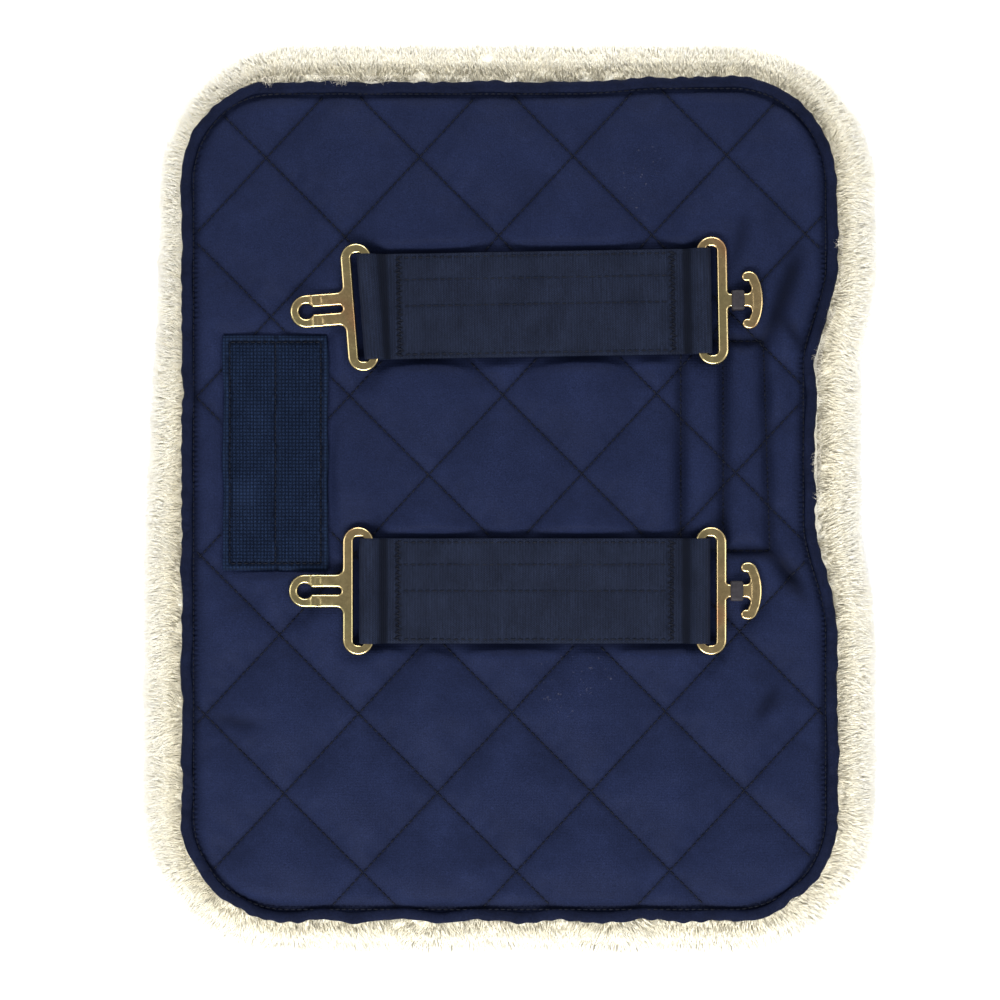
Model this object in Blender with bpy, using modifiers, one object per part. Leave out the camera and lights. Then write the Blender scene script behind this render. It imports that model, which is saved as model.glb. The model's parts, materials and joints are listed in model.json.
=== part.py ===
"""Fleece-lined chest expander for a horse rug, lying flat with its fleece down.

Metres, +Z up. The origin is the middle of the pad's outline, on the surface it lies on.
+X runs along the straps, from the keyhole plates to the T-hooks, and +Y towards the upper strap.
"""

import math

import bmesh
import bpy
from mathutils import Matrix

MM = 0.001
GAP = 0.3 * MM  # between pieces that touch on the real object

# The pad: layers from the fleece up, then its outline
PILE_HEIGHT = 15.0 * MM
BACKING_THICKNESS = 1.0 * MM
WADDING_THICKNESS = 4.9 * MM
FACE_THICKNESS = 1.0 * MM
BINDING_THICKNESS = 0.8 * MM
BINDING_WIDTH = 5.2 * MM
PANEL_WIDTH = 310.0 * MM
PANEL_LENGTH = 399.2 * MM
PANEL_CORNER = 50.0 * MM
PILE_OVERHANG = 16.0 * MM
PANEL_WAIST = 10.5 * MM  # how far the right edge is drawn in beside the straps
PILE_WAIST = 7.0 * MM
PILE_SHOULDER = 8.0 * MM  # how much narrower the pile is at the upper left
WAIST_START = (-60 * MM, -10 * MM)  # along Y, where the drawn-in stretch begins and is full
WAIST_END = (62 * MM, 108 * MM)
SHOULDER_START = (-50 * MM, 150 * MM)

# Hook-and-loop patches: centre, width and length
TAPE_THICKNESS = 1.6 * MM
TAPE_CORNER = 1.5 * MM
FRONT_TAPE_CENTRE = (-110.4 * MM, 21.7 * MM)
FRONT_TAPE_SIZE = (49.3 * MM, 110.7 * MM)
REVERSE_TAPE_CENTRE = (101.9 * MM, 25.0 * MM)
REVERSE_TAPE_SIZE = (42.0 * MM, 99.0 * MM)
REVERSE_TAPE_DEPTH = 9.0 * MM  # its face lies this far inside the pile

# Straps: 50 mm webbing, folded round the inner bar of a fitting at each end
WEB_THICKNESS = 1.6 * MM
WEB_WIDTH = 49.6 * MM
STRAP_LENGTH = 165.0 * MM  # fold to fold
STRAP_THICKNESS = 3.4 * MM  # two layers of web
BARTACK_FROM_FOLD = 15.8 * MM
UPPER_STRAP_CENTRE = (12.4 * MM, 91.8 * MM)
LOWER_STRAP_CENTRE = (11.8 * MM, -43.3 * MM)
UPPER_STRAP_TURN = math.radians(1.0)
UPPER_LEFT_SKEW = math.radians(3.5)  # the upper left fold isn't square to its strap
CAVITY_REACH = 7.3 * MM  # from the bar to where the two layers of web meet
CAVITY_ARC = (math.radians(-122), math.radians(142))
THREAD_RADIUS = 0.35 * MM
ZIGZAG_WIDTH = 3.4 * MM
ZIGZAG_STITCHES = 14
BARTACK_INSET = 1.5 * MM

# Fittings: X is measured outward from the middle of the inner bar, which is the hinge axis
METAL_THICKNESS = 2.8 * MM
METAL_ROUNDING = 1.0 * MM
ROUNDING_STEPS = 1
INNER_BAR_HALF = 2.5 * MM
OUTER_BAR = (7.1 * MM, 12.2 * MM)
RING_LENGTH = 60.4 * MM
SLOT_LENGTH = 50.8 * MM
SLOT_CORNER = 2.0 * MM
BAR_ROOM = 0.3 * MM  # between the turning inner bar and the web round it

TONGUE_HALF_WIDTH = 7.8 * MM
TONGUE_TIP = 37.6 * MM
TONGUE_FILLET = 3.0 * MM
EYE_CENTRE = 30.0 * MM
EYE_RADIUS = 3.45 * MM
KEY_SLOT_HALF_WIDTH = 1.6 * MM
KEY_SLOT_START = 12.9 * MM
KEY_LIP_RADIUS = 1.2 * MM  # rounds the lips between the eye and its slot

NECK_HALF_WIDTH = 3.2 * MM
NECK_FILLET = 1.4 * MM
HEAD_TIP = 28.8 * MM
HEAD_CROWN_RADIUS = 26.0 * MM
HEAD_CROWN_ANGLE = math.radians(25)
SHOULDER_RADIUS = 4.6 * MM
SHOULDER_ANGLE = math.radians(120)
ARM_TIP_RADIUS = 2.35 * MM
ARM_TIP_ANGLE = math.radians(290)
NOTCH_CENTRE = (21.1 * MM, 5.3 * MM)
NOTCH_START = math.radians(40)

STOP_START = 13.9 * MM
STOP_LENGTH = 6.0 * MM
STOP_WALL = 1.1 * MM
STOP_CORNER = 1.2 * MM

# Heights that follow
LIP_BOTTOM = PILE_HEIGHT + GAP
BACKING_BOTTOM = LIP_BOTTOM + BINDING_THICKNESS + GAP
WADDING_BOTTOM = BACKING_BOTTOM + BACKING_THICKNESS + GAP
FACE_BOTTOM = WADDING_BOTTOM + WADDING_THICKNESS + GAP
FACE_TOP = FACE_BOTTOM + FACE_THICKNESS
ON_FACE = FACE_TOP + GAP
LAYER_INSET = BINDING_THICKNESS + GAP
CAVITY_RADIUS = INNER_BAR_HALF + BAR_ROOM
LOOP_RADIUS = CAVITY_RADIUS + WEB_THICKNESS
BAR_FROM_CENTRE = STRAP_LENGTH / 2 - LOOP_RADIUS
BARTACK_FROM_CENTRE = STRAP_LENGTH / 2 - BARTACK_FROM_FOLD

COLOURS = {  # base colour, roughness, metallic
    "navy_fabric": ((0.020, 0.032, 0.080), 0.70, 0.0),
    "navy_webbing": ((0.019, 0.026, 0.050), 0.65, 0.0),
    "navy_thread": ((0.006, 0.009, 0.022), 0.60, 0.0),
    "hook_tape": ((0.006, 0.014, 0.030), 0.75, 0.0),
    "white_filling": ((0.80, 0.80, 0.78), 0.95, 0.0),
    "cream_fleece": ((0.80, 0.75, 0.60), 0.95, 0.0),
    "antique_brass": ((0.45, 0.36, 0.18), 0.25, 1.0),
    "black_rubber": ((0.020, 0.021, 0.024), 0.60, 0.0),
}


# ---------------------------------------------------------------- scene helpers

def clear_scene():
    for obj in list(bpy.data.objects):
        bpy.data.objects.remove(obj, do_unlink=True)


def new_collection(name):
    collection = bpy.data.collections.new(name)
    bpy.context.scene.collection.children.link(collection)
    return collection


def make_materials():
    materials = {}
    for name, (colour, roughness, metallic) in COLOURS.items():
        material = bpy.data.materials.new(name)
        material.use_nodes = True
        shader = material.node_tree.nodes["Principled BSDF"]
        shader.inputs["Base Color"].default_value = (*colour, 1.0)
        shader.inputs["Roughness"].default_value = roughness
        shader.inputs["Metallic"].default_value = metallic
        materials[name] = material
    return materials


clear_scene()
PARTS = new_collection("chest_expander")
CUTTERS = new_collection("cutters")
MATERIALS = make_materials()


def add_object(name, data, material=None, parent=None, collection=PARTS):
    obj = bpy.data.objects.new(name, data)
    collection.objects.link(obj)
    obj.parent = parent
    if material:
        data.materials.append(MATERIALS[material])
    return obj


def add_empty(name, location, turn=0.0, parent=None):
    empty = bpy.data.objects.new(name, None)
    PARTS.objects.link(empty)
    empty.location = location
    empty.rotation_euler.z = turn
    empty.parent = parent
    return empty


def to_mesh(obj):
    """Swap a curve object for a welded mesh of the same shape, place and name."""
    bpy.context.view_layer.update()
    depsgraph = bpy.context.evaluated_depsgraph_get()
    mesh = bpy.data.meshes.new_from_object(obj.evaluated_get(depsgraph))
    bm = bmesh.new()
    bm.from_mesh(mesh)
    bmesh.ops.remove_doubles(bm, verts=bm.verts, dist=0.005 * MM)
    bmesh.ops.recalc_face_normals(bm, faces=bm.faces)
    bm.to_mesh(mesh)
    bm.free()
    name, parent, matrix = obj.name, obj.parent, obj.matrix_world.copy()
    bpy.data.objects.remove(obj, do_unlink=True)
    solid = add_object(name, mesh, parent=parent)
    solid.matrix_world = matrix
    mesh.set_sharp_from_angle(angle=math.radians(30))
    return solid


# ---------------------------------------------------------------- outlines

def arc(centre, radius, start, end, steps):
    """Points on a circle from one angle to another, both ends included."""
    angles = [start + (end - start) * i / steps for i in range(steps + 1)]
    return [(centre[0] + radius * math.cos(a), centre[1] + radius * math.sin(a)) for a in angles]


def mirrored(half):
    """Close a half outline that starts and ends on the X axis with its mirror image."""
    return half + [(x, -y) for x, y in reversed(half[1:-1])]


def smooth_step(value, start, end):
    t = min(1.0, max(0.0, (value - start) / (end - start)))
    return t * t * (3 - 2 * t)


def drawn_in(y):
    """From 0 to 1: how much of the waist the right edge has at this height."""
    return smooth_step(y, *WAIST_START) * (1 - smooth_step(y, *WAIST_END))


def pad_outline(grow, waist, shoulder=0.0):
    """The pad's outline, grown by a distance: a rounded rectangle with a drawn-in right edge."""
    half_width = PANEL_WIDTH / 2 + grow
    half_length = PANEL_LENGTH / 2 + grow
    corner = PANEL_CORNER + grow
    cx, cy = half_width - corner, half_length - corner
    points = [(half_width, -cy + 2 * cy * i / 22) for i in range(22)]
    points += arc((cx, cy), corner, 0, math.pi / 2, 9)
    points += arc((-cx, cy), corner, math.pi / 2, math.pi, 9)
    points += [(-half_width, cy - 2 * cy * i / 6) for i in range(1, 6)]
    points += arc((-cx, -cy), corner, math.pi, 1.5 * math.pi, 9)
    points += arc((cx, -cy), corner, 1.5 * math.pi, 2 * math.pi, 9)[:-1]
    moved = []
    for x, y in points:
        share = min(1.0, abs(x) / half_width)
        if x > 0:
            x -= waist * drawn_in(y) * share
        else:
            x += shoulder * smooth_step(y, *SHOULDER_START) * share
        moved.append((x, y))
    return moved


def outline_curve(name, outlines, thickness, rounding=0.0):
    """A flat plate: closed outlines, the outer one first, any others are its holes."""
    curve = bpy.data.curves.new(name, "CURVE")
    curve.dimensions = "2D"
    curve.fill_mode = "BOTH"
    curve.extrude = thickness / 2 - rounding
    curve.bevel_depth = rounding
    curve.bevel_resolution = ROUNDING_STEPS
    curve.offset = -rounding
    for number, outline in enumerate(outlines):
        points = outline if number == 0 else list(reversed(outline))
        spline = curve.splines.new("POLY")
        spline.points.add(len(points) - 1)
        for point, (x, y) in zip(spline.points, points):
            point.co = (x, y, 0, 1)
        spline.use_cyclic_u = True
    return curve


def plate(name, outlines, thickness, bottom, material, parent=None, rounding=0.0):
    """A plate lying flat, its underside at a height above its parent."""
    obj = add_object(name, outline_curve(name, outlines, thickness, rounding), material, parent)
    obj.location.z = bottom + thickness / 2
    return to_mesh(obj)


def rectangle(centre, size, corner=0.0, steps=3):
    cx, cy = size[0] / 2 - corner, size[1] / 2 - corner
    if not corner:
        return [(centre[0] + sx * cx, centre[1] + sy * cy)
                for sx, sy in ((1, 1), (-1, 1), (-1, -1), (1, -1))]
    points = []
    for number, (sx, sy) in enumerate(((1, 1), (-1, 1), (-1, -1), (1, -1))):
        start = number * math.pi / 2
        middle = (centre[0] + sx * cx, centre[1] + sy * cy)
        points += arc(middle, corner, start, start + math.pi / 2, steps)
    return points


# ---------------------------------------------------------------- the pad

def add_box(name, centre, size):
    """A wire box that cuts another piece."""
    bm = bmesh.new()
    bmesh.ops.create_cube(bm, size=1.0, matrix=Matrix.Diagonal((*size, 1.0)))
    mesh = bpy.data.meshes.new(name)
    bm.to_mesh(mesh)
    bm.free()
    box = add_object(name, mesh, collection=CUTTERS)
    box.location = centre
    box.hide_render = True
    box.display_type = "WIRE"
    return box


def make_pile():
    pile = plate("fleece_pile", [pad_outline(PILE_OVERHANG, PILE_WAIST, PILE_SHOULDER)],
                 PILE_HEIGHT, 0, "cream_fleece")
    depth = REVERSE_TAPE_DEPTH + TAPE_THICKNESS + GAP
    size = (REVERSE_TAPE_SIZE[0] + 2 * GAP, REVERSE_TAPE_SIZE[1] + 2 * GAP, 2 * depth)
    recess = add_box("recess_cutter", (*REVERSE_TAPE_CENTRE, 0), size)
    cut = pile.modifiers.new("tape_recess", "BOOLEAN")
    cut.operation = "DIFFERENCE"
    cut.object = recess


def make_layers():
    outline = [pad_outline(-LAYER_INSET, PANEL_WAIST)]
    plate("lining_backing", outline, BACKING_THICKNESS, BACKING_BOTTOM, "cream_fleece")
    plate("wadding", outline, WADDING_THICKNESS, WADDING_BOTTOM, "white_filling")
    plate("quilted_face", outline, FACE_THICKNESS, FACE_BOTTOM, "navy_fabric")


def make_binding():
    """A tape folded round the edge: an open C-shaped band, thickened inward."""
    top = ON_FACE + BINDING_THICKNESS
    section = [(-BINDING_WIDTH, top), (0.0, top), (0.0, LIP_BOTTOM), (-BINDING_WIDTH, LIP_BOTTOM)]
    bm = bmesh.new()
    rings = [[bm.verts.new((x, y, z)) for x, y in pad_outline(grow, PANEL_WAIST)]
             for grow, z in section]
    for inner, outer in zip(rings, rings[1:]):
        for i in range(len(inner)):
            j = (i + 1) % len(inner)
            bm.faces.new((inner[i], outer[i], outer[j], inner[j]))
    mesh = bpy.data.meshes.new("edge_binding")
    bm.to_mesh(mesh)
    bm.free()
    binding = add_object("edge_binding", mesh, "navy_fabric")
    shell = binding.modifiers.new("thickness", "SOLIDIFY")
    shell.thickness = BINDING_THICKNESS
    shell.offset = -1.0
    shell.use_even_offset = True


def make_tapes():
    plate("front_hook_tape", [rectangle(FRONT_TAPE_CENTRE, FRONT_TAPE_SIZE, TAPE_CORNER)],
          TAPE_THICKNESS, ON_FACE, "hook_tape")
    plate("reverse_loop_tape", [rectangle(REVERSE_TAPE_CENTRE, REVERSE_TAPE_SIZE)],
          TAPE_THICKNESS, REVERSE_TAPE_DEPTH, "hook_tape")


# ---------------------------------------------------------------- the straps

def make_strap(name, parent):
    length = 2 * BARTACK_FROM_CENTRE - GAP
    plate(name, [rectangle((0, 0), (length, WEB_WIDTH))], STRAP_THICKNESS, 0,
          "navy_webbing", parent)


def loop_section():
    """The folded web seen from its edge, X outward from the bartack and Y up from the pad."""
    bar = (BAR_FROM_CENTRE - BARTACK_FROM_CENTRE, LOOP_RADIUS)
    start = (GAP / 2, STRAP_THICKNESS)
    rise = math.atan2(bar[1] - start[1], bar[0] - start[0])
    reach = math.hypot(bar[0] - start[0], bar[1] - start[1])
    tangent = math.pi / 2 + rise + math.asin(LOOP_RADIUS / reach)
    outer = [(GAP / 2, 0.0)] + arc(bar, LOOP_RADIUS, -math.pi / 2, tangent, 16) + [start]
    seam = (bar[0] - CAVITY_REACH, STRAP_THICKNESS / 2)
    inner = arc(bar, CAVITY_RADIUS, *CAVITY_ARC, 16) + [seam]
    return [outer, inner]


def make_loop(name, parent, skew):
    """The web's folded end. Its bar end may be skewed, which leaves its sewn end square."""
    obj = add_object(name, outline_curve(name, loop_section(), WEB_WIDTH), "navy_webbing", parent)
    obj.rotation_euler.x = math.pi / 2
    loop = to_mesh(obj)
    reach = BAR_FROM_CENTRE - BARTACK_FROM_CENTRE
    for vertex in loop.data.vertices:
        share = min(1.0, (vertex.co.x - GAP) / (0.5 * reach))
        vertex.co.x += math.tan(skew) * vertex.co.z * max(0.0, share)


def make_bartack(name, parent):
    """A zigzag of thread across the strap, just inside the end of its sewn part."""
    curve = bpy.data.curves.new(name, "CURVE")
    curve.dimensions = "3D"
    curve.bevel_depth = THREAD_RADIUS
    curve.bevel_resolution = 0
    curve.use_fill_caps = True
    count = 2 * ZIGZAG_STITCHES + 1
    width = WEB_WIDTH - 2 * BARTACK_INSET
    spline = curve.splines.new("POLY")
    spline.points.add(count - 1)
    for i, point in enumerate(spline.points):
        x = -GAP - THREAD_RADIUS - ZIGZAG_WIDTH * (i % 2)
        point.co = (x, width * (i / (count - 1) - 0.5), 0, 1)
    obj = add_object(name, curve, "navy_thread", parent)
    obj.location.z = STRAP_THICKNESS + GAP + THREAD_RADIUS
    to_mesh(obj)


# ---------------------------------------------------------------- the fittings

def ring_half(outer_edge_start):
    """Half of a ring's outer edge, from its outer bar round to its inner bar."""
    radius = (OUTER_BAR[1] + INNER_BAR_HALF) / 2
    middle = OUTER_BAR[1] - radius
    turn = RING_LENGTH / 2 - radius
    return ([(OUTER_BAR[1], outer_edge_start)]
            + arc((middle, turn), radius, 0, math.pi, 16)
            + [(-INNER_BAR_HALF, 0.0)])


def web_slot():
    """The slot that the web passes through: square by the inner bar, rounded by the outer."""
    end = SLOT_LENGTH / 2
    corner_centre = (OUTER_BAR[0] - SLOT_CORNER, end - SLOT_CORNER)
    half = [(OUTER_BAR[0], 0.0)]
    half += arc(corner_centre, SLOT_CORNER, 0, math.pi / 2, 5)
    half += [(INNER_BAR_HALF, end), (INNER_BAR_HALF, 0.0)]
    return mirrored(half)


def tongue_outline():
    tip_centre = TONGUE_TIP - TONGUE_HALF_WIDTH
    half = arc((tip_centre, 0), TONGUE_HALF_WIDTH, 0, math.pi / 2, 12)
    fillet = (OUTER_BAR[1] + TONGUE_FILLET, TONGUE_HALF_WIDTH + TONGUE_FILLET)
    half += arc(fillet, TONGUE_FILLET, 1.5 * math.pi, math.pi, 5)[:-1]
    return mirrored(half + ring_half(fillet[1]))


def keyhole():
    """A round eye near the tip and the narrower slot that runs from it to the ring."""
    lip_y = KEY_SLOT_HALF_WIDTH + KEY_LIP_RADIUS
    lip_x = EYE_CENTRE - math.sqrt((EYE_RADIUS + KEY_LIP_RADIUS) ** 2 - lip_y ** 2)
    meet = math.atan2(lip_y, lip_x - EYE_CENTRE)
    half = arc((EYE_CENTRE, 0), EYE_RADIUS, 0, meet, 12)
    half += arc((lip_x, lip_y), KEY_LIP_RADIUS, meet - math.pi, -math.pi / 2, 5)[1:]
    inner_end = (KEY_SLOT_START + KEY_SLOT_HALF_WIDTH, 0)
    half += arc(inner_end, KEY_SLOT_HALF_WIDTH, math.pi / 2, math.pi, 5)
    return mirrored(half)


def t_head_outline():
    crown = (HEAD_TIP - HEAD_CROWN_RADIUS, 0.0)
    half = arc(crown, HEAD_CROWN_RADIUS, 0, HEAD_CROWN_ANGLE, 7)[:-1]
    reach = HEAD_CROWN_RADIUS - SHOULDER_RADIUS
    shoulder = (crown[0] + reach * math.cos(HEAD_CROWN_ANGLE), reach * math.sin(HEAD_CROWN_ANGLE))
    half += arc(shoulder, SHOULDER_RADIUS, HEAD_CROWN_ANGLE, SHOULDER_ANGLE, 7)[:-1]
    step = SHOULDER_RADIUS - ARM_TIP_RADIUS
    tip = (shoulder[0] + step * math.cos(SHOULDER_ANGLE),
           shoulder[1] + step * math.sin(SHOULDER_ANGLE))
    half += arc(tip, ARM_TIP_RADIUS, SHOULDER_ANGLE, ARM_TIP_ANGLE, 9)
    notch_radius = NOTCH_CENTRE[1] - NECK_HALF_WIDTH
    half += arc(NOTCH_CENTRE, notch_radius, NOTCH_START, -math.pi / 2, 8)
    fillet = (OUTER_BAR[1] + NECK_FILLET, NECK_HALF_WIDTH + NECK_FILLET)
    half += arc(fillet, NECK_FILLET, 1.5 * math.pi, math.pi, 5)[:-1]
    return mirrored(half + ring_half(fillet[1]))


def make_fitting(name, outlines, parent):
    plate(name, outlines, METAL_THICKNESS, -METAL_THICKNESS / 2, "antique_brass", parent,
          METAL_ROUNDING)


def make_stop(name, parent):
    """A rubber sleeve round the hook's neck, extruded along X."""
    bore = (2 * (NECK_HALF_WIDTH + GAP), METAL_THICKNESS + 2 * GAP)
    outer = (bore[0] + 2 * STOP_WALL, bore[1] + 2 * STOP_WALL)
    sections = [rectangle((0, 0), outer, STOP_CORNER, 4), rectangle((0, 0), bore)]
    curve = outline_curve(name, sections, STOP_LENGTH)
    obj = add_object(name, curve, "black_rubber", parent)
    obj.rotation_euler = (math.pi / 2, 0, math.pi / 2)
    obj.location.x = STOP_START + STOP_LENGTH / 2
    to_mesh(obj)


# ---------------------------------------------------------------- assembly

def make_end(name, strap, outward, skew):
    """One end of a strap: its loop, its bartack and the empty its fitting swings about."""
    turn = 0.0 if outward > 0 else math.pi
    sewn_end = add_empty(name + "_loop_axis", (outward * BARTACK_FROM_CENTRE, 0, 0), turn, strap)
    make_loop(name + "_loop", sewn_end, skew)
    make_bartack(name + "_bartack", sewn_end)
    bar = (BAR_FROM_CENTRE - BARTACK_FROM_CENTRE, 0, LOOP_RADIUS)
    return add_empty(name + "_bar_axis", bar, skew, sewn_end)


def make_surcingle(name, centre, turn, left_skew):
    """One strap with a keyhole plate on its left end and a T-hook on its right."""
    strap = add_empty(name + "_surcingle", (*centre, ON_FACE), turn)
    make_strap(name + "_strap", strap)
    left = make_end(name + "_left", strap, -1, left_skew)
    right = make_end(name + "_right", strap, 1, 0.0)
    make_fitting(name + "_keyhole_plate", [tongue_outline(), web_slot(), keyhole()], left)
    make_fitting(name + "_t_hook", [t_head_outline(), web_slot()], right)
    make_stop(name + "_rubber_stop", right)


make_pile()
make_layers()
make_binding()
make_tapes()
make_surcingle("upper", UPPER_STRAP_CENTRE, UPPER_STRAP_TURN, UPPER_LEFT_SKEW)
make_surcingle("lower", LOWER_STRAP_CENTRE, 0.0, 0.0)
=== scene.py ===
"""Looks of the fleece-lined chest expander: quilted pad, fleece, webbing, fittings and stitching.

Metres, +Z up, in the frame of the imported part: the pad lies flat, fleece down, straps along X.
"""

import json
import math

import bmesh
import bpy
import numpy as np
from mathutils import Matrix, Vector, kdtree
from mathutils.geometry import tessellate_polygon


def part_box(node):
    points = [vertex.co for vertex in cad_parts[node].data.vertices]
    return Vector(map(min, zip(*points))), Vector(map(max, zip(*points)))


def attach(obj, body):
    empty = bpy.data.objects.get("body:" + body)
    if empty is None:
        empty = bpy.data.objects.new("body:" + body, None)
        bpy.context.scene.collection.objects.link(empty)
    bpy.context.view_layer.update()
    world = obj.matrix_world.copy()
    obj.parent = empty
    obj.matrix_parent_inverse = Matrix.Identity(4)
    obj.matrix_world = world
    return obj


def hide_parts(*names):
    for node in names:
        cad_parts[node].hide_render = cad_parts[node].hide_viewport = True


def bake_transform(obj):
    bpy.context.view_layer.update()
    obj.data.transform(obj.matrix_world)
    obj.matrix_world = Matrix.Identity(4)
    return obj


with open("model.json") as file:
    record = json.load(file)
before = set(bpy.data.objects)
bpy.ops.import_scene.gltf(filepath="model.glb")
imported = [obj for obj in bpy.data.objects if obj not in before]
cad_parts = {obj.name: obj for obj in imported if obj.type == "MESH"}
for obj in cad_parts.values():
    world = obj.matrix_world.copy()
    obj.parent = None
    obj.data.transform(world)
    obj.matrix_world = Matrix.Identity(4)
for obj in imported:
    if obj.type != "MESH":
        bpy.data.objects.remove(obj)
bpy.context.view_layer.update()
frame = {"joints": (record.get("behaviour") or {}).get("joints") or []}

MM = 0.001
JOINTS = {joint["name"]: joint for joint in frame["joints"]}
STRAPS = ("upper", "lower")


def box_of(node):
    low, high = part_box(node)
    return np.array(low), np.array(high)


# ---------------------------------------------------------------- sizes

PANEL_LOW, PANEL_HIGH = box_of("edge_binding")
PILE_LOW, PILE_HIGH = box_of("fleece_pile")
FACE_TOP = box_of("quilted_face")[1][2]
BACKING_BOTTOM = box_of("lining_backing")[0][2]
ON_FACE = box_of("lower_strap")[0][2]

PANEL_CORNER = 50 * MM
PANEL_WAIST = 10.5 * MM  # how far the right edge is drawn in
PILE_WAIST = 7.0 * MM
PILE_SHOULDER = 8.0 * MM  # how far the fleece is drawn in at the upper left
PANEL_DIP = 2.6 * MM  # how far the fleece draws the top edge down

# The stretches over which those begin and end, along the edge that each is on
WAIST_START = (-60 * MM, -10 * MM)
WAIST_END = (62 * MM, 108 * MM)
SHOULDER_START = (-50 * MM, 150 * MM)
DIP_START = (-140 * MM, -105 * MM)
DIP_END = (30 * MM, 75 * MM)

QUILT_ORIGIN = np.array((-3.1, 49.1)) * MM  # where two seams cross
QUILT_DOWN = np.array((37.25, -37.25)) * MM  # from one crossing to the next along each seam
QUILT_UP = np.array((35.15, 37.75)) * MM
QUILT_CELLS = 16  # mesh cells along a diamond's side
QUILT_RISE = 7.0 * MM  # of most diamonds' middles over their seams
CLOTH_PRESSURE = 300.0  # enough for the light, damped cloth to stand out fully from its seams
CLOTH_FRAMES = 20
SEAM_LEVEL = FACE_TOP - 0.6 * MM

WEB_THICKNESS = 1.6 * MM
RIB_PITCH = 1.3 * MM
YARN_PITCH = 1.0 * MM
BAR_ROOM = 2.8 * MM  # from the middle of a fitting's inner bar to the web round it
DIP_REACH = 3.4 * MM  # from the hinge line to the bottom of the dip beside the bartack

# Fittings, in a frame whose origin is on the inner bar and whose X points to the tip
OUTER_BAR = (7.1 * MM, 12.2 * MM)  # from, to
INNER_BAR_HALF = 2.5 * MM
RING_LENGTH = 60.4 * MM
SLOT_LENGTH = 50.8 * MM
METAL_THICKNESS = 2.8 * MM
METAL_ROUNDING = 1.2 * MM
TONGUE_HALF = 7.8 * MM
TONGUE_TIP = 37.6 * MM
EYE_CENTRE = 30.0 * MM
EYE_RADIUS = 3.45 * MM
KEY_HALF = 1.6 * MM
KEY_START = 12.9 * MM
LIP_RADIUS = 1.2 * MM
NECK_HALF = 3.2 * MM
HEAD_TIP = 28.8 * MM
STOP_START = 13.9 * MM
STOP_LENGTH = 6.0 * MM
HEAD_HALF = 13.4 * MM

QUILT_PITCH = 3.1 * MM  # from one stitch to the next
TAPE_STITCH = (2.9 * MM, 2.1 * MM)  # from one stitch to the next, and its length
STITCH_LIFT = 0.28 * MM  # how high a stitch's middle arches
FINE_THREAD = 0.26 * MM  # radius
TAPE_HEM = 3.2 * MM  # from the front tape's edge to its outer seam

# The fleece: a solid core, and the fibres that grow on it
BODY_GROW = -0.8 * MM  # the core's edge, from the outline that its fibres reach
BODY_ROUND = 8.0 * MM
BODY_TOP = 14.9 * MM
BODY_MIDDLE = 8.6 * MM
BODY_BOTTOM = 2.2 * MM
FIBRE_LENGTH = 5.6 * MM
RIM_FIBRES = 19500  # in each of the rim's pieces
UNDER_FIBRES = 19000
MOST_STRAYS = 1200  # the limit to the fibres over the binding
FUR_SEED = 7

# Clumps of fibres: their size, and how far each draws its fibres' tips together
RIM_CLUMP = (2.6 * MM, 0.07)
STRAY_CLUMP = (8 * MM, 0.35)
UNDER_CLUMP = (4.5 * MM, 0.5)


# ---------------------------------------------------------------- numbers and outlines

def arc(centre, radius, start, end, steps):
    angles = np.linspace(start, end, steps + 1)
    return [(centre[0] + radius * math.cos(a), centre[1] + radius * math.sin(a)) for a in angles]


def smooth_step(value, start, end):
    t = np.clip((value - start) / (end - start), 0.0, 1.0)
    return t * t * (3 - 2 * t)


def between(value, rising, falling):
    """0 before the rising stretch, 1 from its end to the falling stretch, 0 after that."""
    return smooth_step(value, *rising) * (1 - smooth_step(value, *falling))


def bell(distance, width, power=2):
    """1 at distance 0, 1/e at the width, and less beyond it; a higher power is steeper."""
    return np.exp(-(distance / width) ** power)


def unit(vectors):
    return vectors / np.linalg.norm(vectors, axis=1)[:, None]


def quarter_turned(vectors):
    return np.stack([-vectors[:, 1], vectors[:, 0]], axis=1)


def middle_and_half(low, high):
    """A box's centre and half sizes, seen from above."""
    return (low[:2] + high[:2]) / 2, (high[:2] - low[:2]) / 2


def travel(line):
    """The distance along a line to each of its points."""
    return np.concatenate([[0], np.cumsum(np.linalg.norm(np.diff(line, axis=0), axis=1))])


def at_distances(line, travelled, distances):
    return np.stack([np.interp(distances, travelled, line[:, k]) for k in (0, 1)], axis=1)


def closed_length(outline):
    return np.linalg.norm(outline - np.roll(outline, 1, axis=0), axis=1).sum()


def ripple(points, wavelength, seed, count=14):
    """Smooth noise of mean 0 and size about 1: waves of similar length in seeded directions."""
    rng = np.random.default_rng(seed)
    points = np.asarray(points)
    total = np.zeros(len(points))
    for _ in range(count):
        direction = rng.normal(size=points.shape[1])
        direction /= np.linalg.norm(direction)
        length = wavelength * rng.uniform(0.7, 1.5)
        total += np.sin(points @ direction * 2 * math.pi / length + rng.uniform(0, 2 * math.pi))
    return total / math.sqrt(count / 2)


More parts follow.
